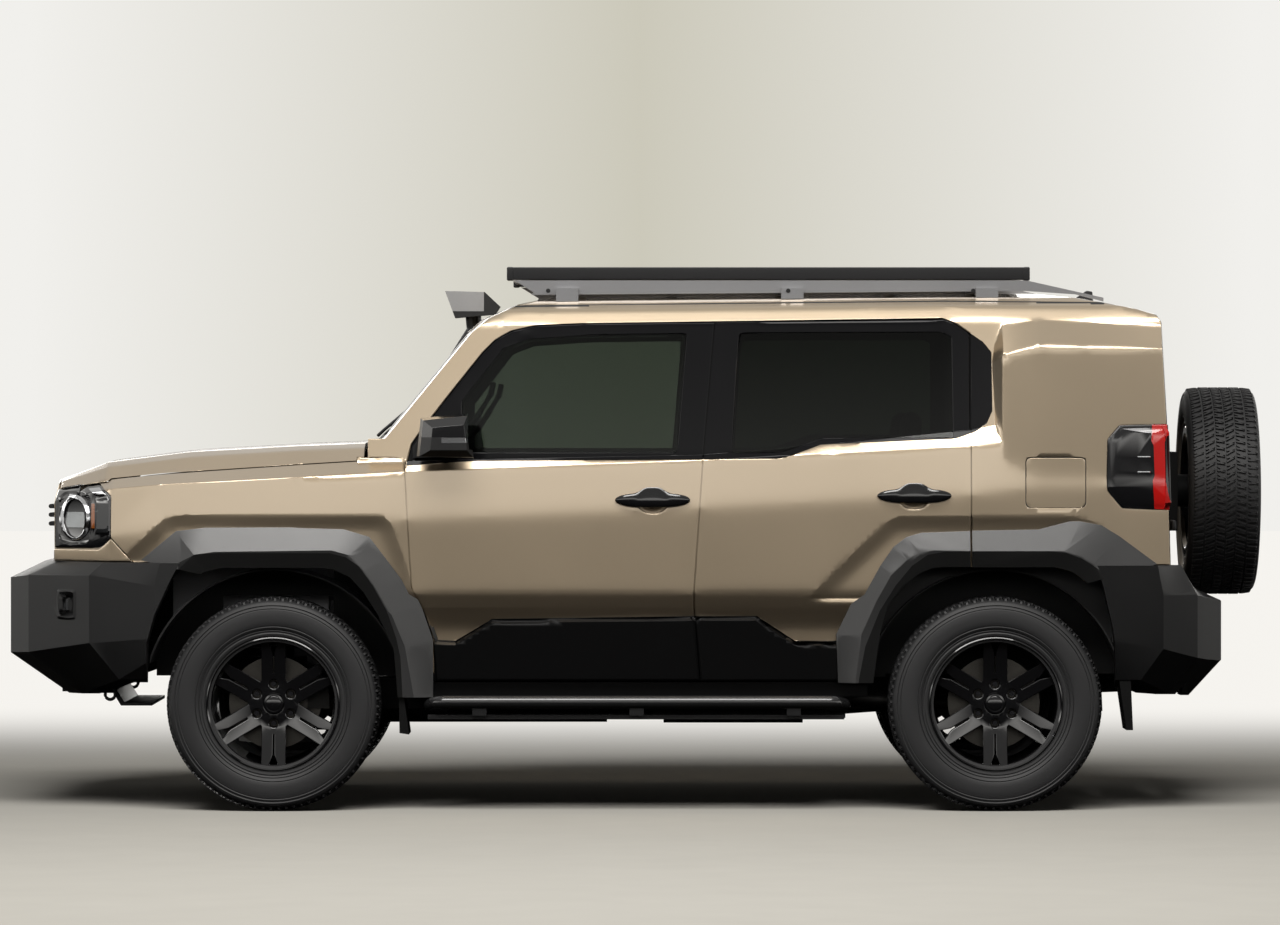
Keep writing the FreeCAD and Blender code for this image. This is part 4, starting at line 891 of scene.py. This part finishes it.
# A block's foot radius, its top radius in the middle rows and at the shoulders, and where the
# shoulders start. BLOCK is its outline with two sipes, as shares of its half length and half width.
BLOCK_FOOT, BLOCK_TOP, SHOULDER_TOP, SHOULDER = 0.3715, 0.3822, 0.3808, 0.08
BLOCK = [(-1, -1), (-0.4, -1), (-0.15, -0.25), (0.25, -0.25), (0.4, -1), (1, -1), (1, 1), (0.2, 1),
         (0.0, 0.2), (-0.35, 1)]


def tyre_mesh():
    """A carcass with its sidewall rings, and one block of each tread row spun round it."""
    bm = bmesh.new()
    lathe(bm, SIDEWALL + CROWN + [(r, -y) for r, y in reversed(SIDEWALL)], 120)
    step = 2 * math.pi / PITCHES
    for y, wide, long, lean, phase in TREAD:
        shoulder, way = abs(y) > SHOULDER, 1 if y > 0 else -1
        base = [bm.verts.new((BLOCK_FOOT, y + v * wide, u * long + lean * v)) for u, v in BLOCK]
        face = bm.faces.new(base)
        lifted = points_of(bmesh.ops.extrude_face_region(bm, geom=[face])["geom"])
        bmesh.ops.translate(bm, verts=lifted,
                            vec=((SHOULDER_TOP if shoulder else BLOCK_TOP) - BLOCK_FOOT, 0, 0))
        bmesh.ops.scale(bm, verts=lifted, vec=(1, 0.94, 0.92),
                        space=Matrix.Translation((0, -y, 0)))
        block = base + lifted
        if shoulder:      # shoulder blocks run down over the edge
            for verts, down, out in ((lifted, 0.0035, 0.006), (base, 0.0065, 0.0095)):
                for v in verts:
                    if (v.co.y - y) * way > 0:
                        v.co.x -= down
                        v.co.y += way * out
        bmesh.ops.rotate(bm, verts=block, cent=(0, 0, 0), matrix=Matrix.Rotation(phase * step, 3, "Y"))
        faces = {f for v in block for f in v.link_faces}
        bmesh.ops.spin(bm, geom=list(faces), cent=(0, 0, 0), axis=(0, 1, 0), dvec=(0, 0, 0),
                       angle=2 * math.pi - step, steps=PITCHES - 1, use_duplicate=True)
    return bm


parts = {"tread": tyre_mesh(), "cast": wheel_mesh(), "nuts": nuts_mesh(), "brake": brake_mesh()}
for tyre in ("wheel_front_tyre_left", "wheel_front_tyre_right", "wheel_rear_tyre_left",
             "wheel_rear_tyre_right", "spare_tyre"):
    spare, rim, body = tyre == "spare_tyre", tyre.replace("tyre", "rim"), body_of_node[tyre]
    shapes = {name: placed(made.copy(), sum(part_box(tyre), Vector()) / 2, spare, "left" in tyre)
              for name, made in parts.items()}
    piece(tyre + "_tread", shapes["tread"], [tyre_rubber], body, sharp=35, replaces=[tyre])
    piece(rim + "_cast", shapes["cast"], [wheel_black], body, sharp=30, replaces=[rim])
    piece(rim + "_nuts", shapes["nuts"], [nut_chrome], body)
    if not spare:
        piece(rim + "_brake", shapes["brake"], [disc_steel], body)

# ---- Running gear and underside -------------------------------------------------------------
# Cast and welded iron axles and arms on a black ladder frame, a floor and housings under sealing
# compound, and a plain engine block. They keep the frame's own shapes.
cast_iron = finish_material("cast_iron", (0.022, 0.021, 0.020), 0.55, grain=300.0, tone=0.5, bump=0.3,
                            Metallic=0.7)
frame_black = finish_material("chassis_black", (0.008, 0.008, 0.008), 0.6, grain=200.0, tone=0.4,
                              Specular_IOR_Level=0.15)
underseal = finish_material("underseal", (0.020, 0.020, 0.020), 0.75, grain=260.0, tone=0.5, bump=0.5)
engine_alloy = finish_material("engine_alloy", (0.25, 0.25, 0.26), 0.42, tone=0.3, Metallic=0.9)
for node, material in (("front_suspension", cast_iron), ("rear_axle", cast_iron),
                       ("knuckle_left", cast_iron), ("knuckle_right", cast_iron),
                       ("frame", frame_black), ("spare_carrier", frame_black),
                       ("scuttle", underseal), ("floor", underseal), ("underbody", underseal),
                       ("engine", engine_alloy)):
    dress(node, material)

# Side steps: glossy tubes with their planks and brackets, welded and coated as one.
step_black = finish_material("side_step_gloss", (0.030, 0.030, 0.031), 0.22, grain=900.0, tone=0.2,
                             bump=0.05, Metallic=0.4, Coat_Weight=0.6, Coat_Roughness=0.05)
moulded("side_steps", step_black, 0.003)

# ---- Cabin ----------------------------------------------------------------------------------
# Leather seats on moulded plinths, each cushion stuffed and sewn; dark plastic trim on the luggage
# sides, the console and the dashboard.
seat_leather = finish_material("seat_leather", (0.020, 0.020, 0.020), 0.5, grain=700.0, tone=0.3,
                               bump=0.4)
cabin_trim = finish_material("cabin_trim", (0.022, 0.022, 0.023), 0.55, grain=900.0, tone=0.2,
                             bump=0.3)
# The luggage sides: a sheet from the wheel arch up to the windows, in millimetres.
ARCH_X, ARCH_Z, ARCH_RADIUS, TRIM_Y, TRIM_THICK = -1282, 395, 464, 728, 10
for label, side in (("left", 1), ("right", -1)):
    panel = bmesh.new()
    arch = [(ARCH_X + ARCH_RADIUS * math.cos(math.radians(a)),
             ARCH_Z + ARCH_RADIUS * math.sin(math.radians(a))) for a in range(168, 29, -6)]
    outline = [(-1840, 640)] + arch + [(-868, 1240), (-1840, 1240)]
    slab(panel, [(x, side * TRIM_Y, z) for x, z in outline], (0, side * TRIM_THICK, 0), 0)
    piece("luggage_side_trim_" + label, panel, [cabin_trim], "body")

# The plinths end at the seats' underside; the console between them is full height.
PLINTH_TOP, CONSOLE_HALF = 0.56, 0.115
plinth = merged("front_seats")
sliced(plinth, (0, 0, PLINTH_TOP), (0, 0, 1))
above = [f for f in plinth.faces if f.calc_center_median().z > PLINTH_TOP
         and abs(f.calc_center_median().y) > CONSOLE_HALF]
bmesh.ops.delete(plinth, geom=above, context="FACES")
roll(plinth, 30, 180, 0.012, 3)
piece("seat_plinths_and_console", plinth, [cabin_trim], "body", replaces=["front_seats"])

# Side-view outlines of the cushions, backs and headrests, in millimetres.
FRONT_SEAT = {"cushion": [(318, 570), (326, 655), (262, 700), (-160, 672), (-170, 570)],
              "back": [(-62, 690), (-176, 1226), (-250, 1250), (-300, 1226), (-184, 672)],
              "headrest": [(-198, 1296), (-204, 1430), (-242, 1454), (-284, 1432), (-278, 1296)]}
REAR_SEAT = {"cushion": [(-568, 505), (-562, 652), (-640, 696), (-850, 678), (-850, 505)],
             "back": [(-866, 660), (-966, 1218), (-1000, 1240), (-1050, 1218), (-992, 640)],
             "headrest": [(-956, 1282), (-962, 1412), (-994, 1432), (-1034, 1412), (-1028, 1282)]}
NET_VOXEL, CLOTH_FRAMES = 0.014, 12
# Two sewn seams run along a pad, at a share of its half width: their depth and their own width.
SEAMS, SEAM_DEPTH, SEAM_WIDTH = (-0.56, 0.56), 0.007, 0.07


def cushion(name, outline, middle, half, swell):
    """One upholstered pad: a net over its outline, puffed by cloth pressure, with two sewn seams."""
    bm = bmesh.new()
    slab(bm, [(x, middle - half, z) for x, z in outline], (0, 2 * half, 0), 18)
    bmesh.ops.triangulate(bm, faces=bm.faces)
    mesh = bpy.data.meshes.new(name)
    bm.to_mesh(mesh)
    bm.free()
    obj = in_scene(name, mesh)
    net = obj.modifiers.new("net", "REMESH")
    net.mode, net.voxel_size = "VOXEL", NET_VOXEL
    graph = bpy.context.evaluated_depsgraph_get()
    obj.data = bpy.data.meshes.new_from_object(obj.evaluated_get(graph))
    obj.modifiers.clear()
    rest = [v.co.copy() for v in obj.data.vertices]
    cloth = obj.modifiers.new("stuffing", "CLOTH")
    cloth.settings.quality = 3
    cloth.settings.use_pressure = True
    cloth.settings.uniform_pressure_force = 4.0
    cloth.settings.effector_weights.gravity = 0.0
    cloth.point_cache.frame_start, cloth.point_cache.frame_end = 1, CLOTH_FRAMES
    for frame_number in range(1, CLOTH_FRAMES + 1):
        bpy.context.scene.frame_set(frame_number)
    graph = bpy.context.evaluated_depsgraph_get()
    obj.data = bpy.data.meshes.new_from_object(obj.evaluated_get(graph))
    obj.modifiers.clear()
    bpy.context.scene.frame_set(1)
    for v, start in zip(obj.data.vertices, rest):     # no point swells further than this
        move = v.co - start
        if move.length > swell:
            v.co = start + move * (swell / move.length)
    for v, start in zip(obj.data.vertices, rest):
        across = (start.y * 1000 - middle) / half
        for seam in SEAMS:
            v.co -= v.normal * SEAM_DEPTH * max(0.0, 1.0 - abs(across - seam) / SEAM_WIDTH)
    obj.data.shade_smooth()
    obj.data.materials.append(seat_leather)
    finer = obj.modifiers.new("finer", "SUBSURF")
    finer.levels = finer.render_levels = 1
    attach(obj, "body")
    return obj


for label, y in (("left", 370), ("right", -370)):
    for part, half in (("cushion", 228), ("back", 226), ("headrest", 120)):
        cushion("front_" + part + "_" + label, FRONT_SEAT[part], y, half, 0.010)
rear_pads = [cushion("rear_" + part + "_" + label, REAR_SEAT[part], y, half, 0.008)
             for label, y in (("left", 300), ("right", -300))
             for part, half in (("cushion", 240), ("back", 250))]
rear_pads += [cushion("rear_headrest_" + label, REAR_SEAT["headrest"], y, 122, 0.008)
              for label, y in (("left", 420), ("right", -420))]
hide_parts("rear_seats")
posts = bmesh.new()
for y, foot, top in ((370, (-238, 1225), (-244, 1310)), (420, (-1000, 1215), (-998, 1296))):
    for across in (y - 60, y + 60, -y - 60, -y + 60):
        tube(posts, [(foot[0], across, foot[1]), (top[0], across, top[1])], 6)
piece("headrest_posts", posts, [chrome], "body")

# Dashboard with vents and a dark screen, the wheel's rim, and the grab handles on the pillars.
bm = merged("dashboard")
roll(bm, 15, 180, 0.012, 3)
piece("dashboard_moulding", bm, [cabin_trim], "body", replaces=["dashboard"])
moulded("steering_wheel", cabin_trim, 0.004)
display = bmesh.new()
slab(display, [(557, -150, 1150), (557, 150, 1150), (575, 150, 1262), (575, -150, 1262)], (8, 0, -1), 3)
for y in (-600, -230, 230, 600):
    bar(display, (553, y - 45, 1110), (561, y + 45, 1170), 3)
piece("dashboard_screen_and_vents", display, [lamp_black], "body")
handles = bmesh.new()
for side in (1, -1):
    tube(handles, [(640, side * 742, 1330), (604, side * 716, 1362), (560, side * 706, 1430),
                   (524, side * 700, 1490), (516, side * 716, 1530)], 11)
piece("grab_handles", handles, [cabin_trim], "body")

# ---- Roof rack, tailgate fittings and small parts -------------------------------------------
# The rack is a welded platform of powder-coated bars with capped corners, bolted to two alloy rails.
rack_black = finish_material("rack_powder_coat", (0.012, 0.012, 0.013), 0.38, grain=800.0, tone=0.2,
                             bump=0.2, Metallic=0.2)
rail_alloy = finish_material("rail_alloy", (0.33, 0.33, 0.34), 0.36, tone=0.15, Metallic=0.85)
platform = bmesh.new()
for y in (-654, 620):           # side bars
    bar(platform, (-1405, y, 1902), (456, y + 34, 1948), 4)
for x in (422, -1405):          # end bars
    bar(platform, (x, -620, 1908), (x + 34, 620, 1944), 3)
for y in range(-595, 526, 140):     # slats
    bar(platform, (-1370, y, 1924), (420, y + 70, 1942), 3)
for x in (250, -150, -550, -950, -1250):    # cross members under the slats
    bar(platform, (x, -620, 1904), (x + 40, 620, 1924), 2)
for x in (456, -1405):          # caps on the side bars' ends
    for y in (-654, 620):
        bar(platform, (x - 12, y - 3, 1899), (x + 12, y + 37, 1949), 5)
piece("rack_platform", platform, [rack_black], "body", sharp=35, replaces=["rack"])
moulded("rack_rails", rail_alloy, 0.003)
bolts = bmesh.new()
for side in (1, -1):
    for x in (318, -545, -1210):
        tube(bolts, [(x, side * 696, 1862), (x, side * 707, 1862)], 8)
piece("rack_bolts", bolts, [rack_black], "body")

# Tailgate: a pull handle, a plain plate panel and a high brake lamp; they swing with the gate.
gate = bmesh.new()
bar(gate, (-1942, 560, 1000), (-1926, 690, 1036), 6)
bar(gate, (-1930, 250, 905), (-1922, 560, 985), 3)
piece("gate_handle_and_plate_panel", gate, [bumper_black], "tailgate")
brake_lamp = bmesh.new()
bar(brake_lamp, (-1906, -150, 1716), (-1880, 150, 1732), 3)
piece("high_brake_lamp", brake_lamp, [tail_red], "tailgate")

# An aerial fin on the roof, and the wipers' arms and blades at the foot of the windscreen.
fittings = bmesh.new()
slab(fittings, [(-1600, -6, 1824), (-1690, -6, 1824), (-1686, -6, 1872), (-1664, -6, 1876),
                (-1620, -6, 1846)], (0, 12, 0), 4)
for y in (250, -380):
    tube(fittings, [(948, y, 1340), (925, y - 20, 1362), (800, y - 300, 1476)], 6)
    tube(fittings, [(900, y - 60, 1372), (700, y - 260, 1562)], 5)
piece("roof_and_screen_fittings", fittings, [rack_black], "body")

# ---- Floor, light and camera ----------------------------------------------------------------
# A plain ivory studio: a pale stone floor, a bright overhead and a dark surround below it, so that
# the glossy panels read as dark and the shoulders catch the light.
floor_mesh = bmesh.new()
bmesh.ops.create_grid(floor_mesh, x_segments=2, y_segments=2, size=60.0)
floor_data = bpy.data.meshes.new("studio_floor")
floor_mesh.to_mesh(floor_data)
floor_mesh.free()
floor = in_scene("studio_floor", floor_data)


def straight(tree):
    """1 for what is seen directly or through glass, 0 for what other rays bring."""
    ray = add(tree, "LightPath").outputs
    return add(tree, "Math", [(0, ray["Is Camera Ray"]), (1, ray["Is Transmission Ray"])],
               operation="MAXIMUM").outputs[0]


pale_floor = finish_material("pale_floor", (0.56, 0.545, 0.50), 0.55, grain=5.0, tone=0.06,
                             spread=0.2, bump=0.0, Specular_IOR_Level=0.0)
tree = pale_floor.node_tree
# To reflections and bounced light the floor is near black: painted shade for the ground in the car's
# shadow.
dim = add(tree, "BsdfDiffuse", [("Color", (0.012, 0.011, 0.010, 1))])
behind = add(tree, "SeparateXYZ", [(0, add(tree, "TexCoord").outputs["Object"])]).outputs["Y"]
fade = add(tree, "MapRange", [("Value", behind), ("From Min", -1.4), ("From Max", -8.5)],
           interpolation_type="SMOOTHERSTEP")
# Far behind the car the floor fades into a glow: painted light.
far_floor_glow = add(tree, "Emission", [("Color", (0.92, 0.90, 0.86, 1))])
stone = add(tree, "MixShader", [(0, fade.outputs[0]), (1, tree.nodes["Principled BSDF"].outputs[0]),
                                (2, far_floor_glow.outputs[0])])
shown = add(tree, "MixShader", [(0, straight(tree)), (1, dim.outputs[0]), (2, stone.outputs[0])])
tree.links.new(shown.outputs[0], tree.nodes["Material Output"].inputs["Surface"])
floor_data.materials.append(pale_floor)

world = bpy.data.worlds.new("studio")
bpy.context.scene.world = world
world.use_nodes = True
world.cycles.sampling_method = "NONE"
sky = world.node_tree
across, ahead, height = add(sky, "SeparateXYZ",
                            [(0, add(sky, "TexCoord").outputs["Generated"])]).outputs
walls = add(sky, "ValToRGB", [("Fac", height)])
BRIGHTNESS = [(0.0, 0.05), (0.05, 0.38), (0.11, 1.3), (0.20, 2.9), (0.26, 0.40), (0.5, 0.30),
              (0.9, 0.40)]     # of the walls, by height
while len(walls.color_ramp.elements) < len(BRIGHTNESS):
    walls.color_ramp.elements.new(0.5)
for stop, (place, value) in zip(walls.color_ramp.elements, BRIGHTNESS):
    stop.position, stop.color = place, (value, value * 0.98, value * 0.94, 1)
aside = add(sky, "Math", [(0, across)], operation="ABSOLUTE").outputs[0]
backdrop = add(sky, "ValToRGB", [("Fac", aside)])
for stop, place, colour in zip(backdrop.color_ramp.elements, (0.0, 0.09),
                               ((0.60, 0.58, 0.49), (0.88, 0.87, 0.84))):
    stop.position, stop.color = place, (*colour, 1)
lit = sky.nodes["Background"]
sky.links.new(walls.outputs["Color"], lit.inputs["Color"])
seen = add(sky, "Background", [("Color", backdrop.outputs["Color"]), ("Strength", 1.0)])
diffuse = add(sky, "LightPath").outputs["Is Diffuse Ray"]
soft = add(sky, "Math", [(0, diffuse), (1, -0.93), (2, 1.0)], operation="MULTIPLY_ADD")
facing = add(sky, "Math", [(0, ahead), (1, -0.60), (2, 1.45)], operation="MULTIPLY_ADD")
both = add(sky, "Math", [(0, soft.outputs[0]), (1, facing.outputs[0])], operation="MULTIPLY")
sky.links.new(both.outputs[0], lit.inputs["Strength"])
both_skies = add(sky, "MixShader", [(0, straight(sky)), (1, lit.outputs[0]), (2, seen.outputs[0])])
sky.links.new(both_skies.outputs[0], sky.nodes["World Output"].inputs["Surface"])


def softbox(name, place, target, size, watts):
    """A large warm-white lamp that shines from its place at a target."""
    light = bpy.data.lights.new(name, "AREA")
    light.shape = "RECTANGLE"
    light.size, light.size_y = size
    light.energy = watts
    light.color = (1, 0.98, 0.95)
    lamp = in_scene(name, light)
    lamp.location = place
    lamp.rotation_euler = (Vector(target) - Vector(place)).to_track_quat("-Z", "Y").to_euler()


softbox("top_softbox", (0.2, 6.4, 8.6), (0, 0, 0), (9.0, 2.6), 620)
softbox("key_softbox", (0.8, 9.5, 9.0), (0, 0, 0.8), (10.0, 3.0), 640)
bpy.context.scene.view_settings.view_transform = "Standard"

camera_data = bpy.data.cameras.new("camera")
camera_data.lens = 190.0
camera_data.sensor_width = 36.0
camera_data.clip_end = 200.0
camera = in_scene("camera", camera_data)
CAMERA_DIP = 0.36       # degrees below level
camera.location = (-0.012, 25.0, 1.397)
camera.rotation_euler = (math.radians(90.0 - CAMERA_DIP), 0.0, math.radians(180.0))
bpy.context.scene.camera = camera

bpy.context.view_layer.update()
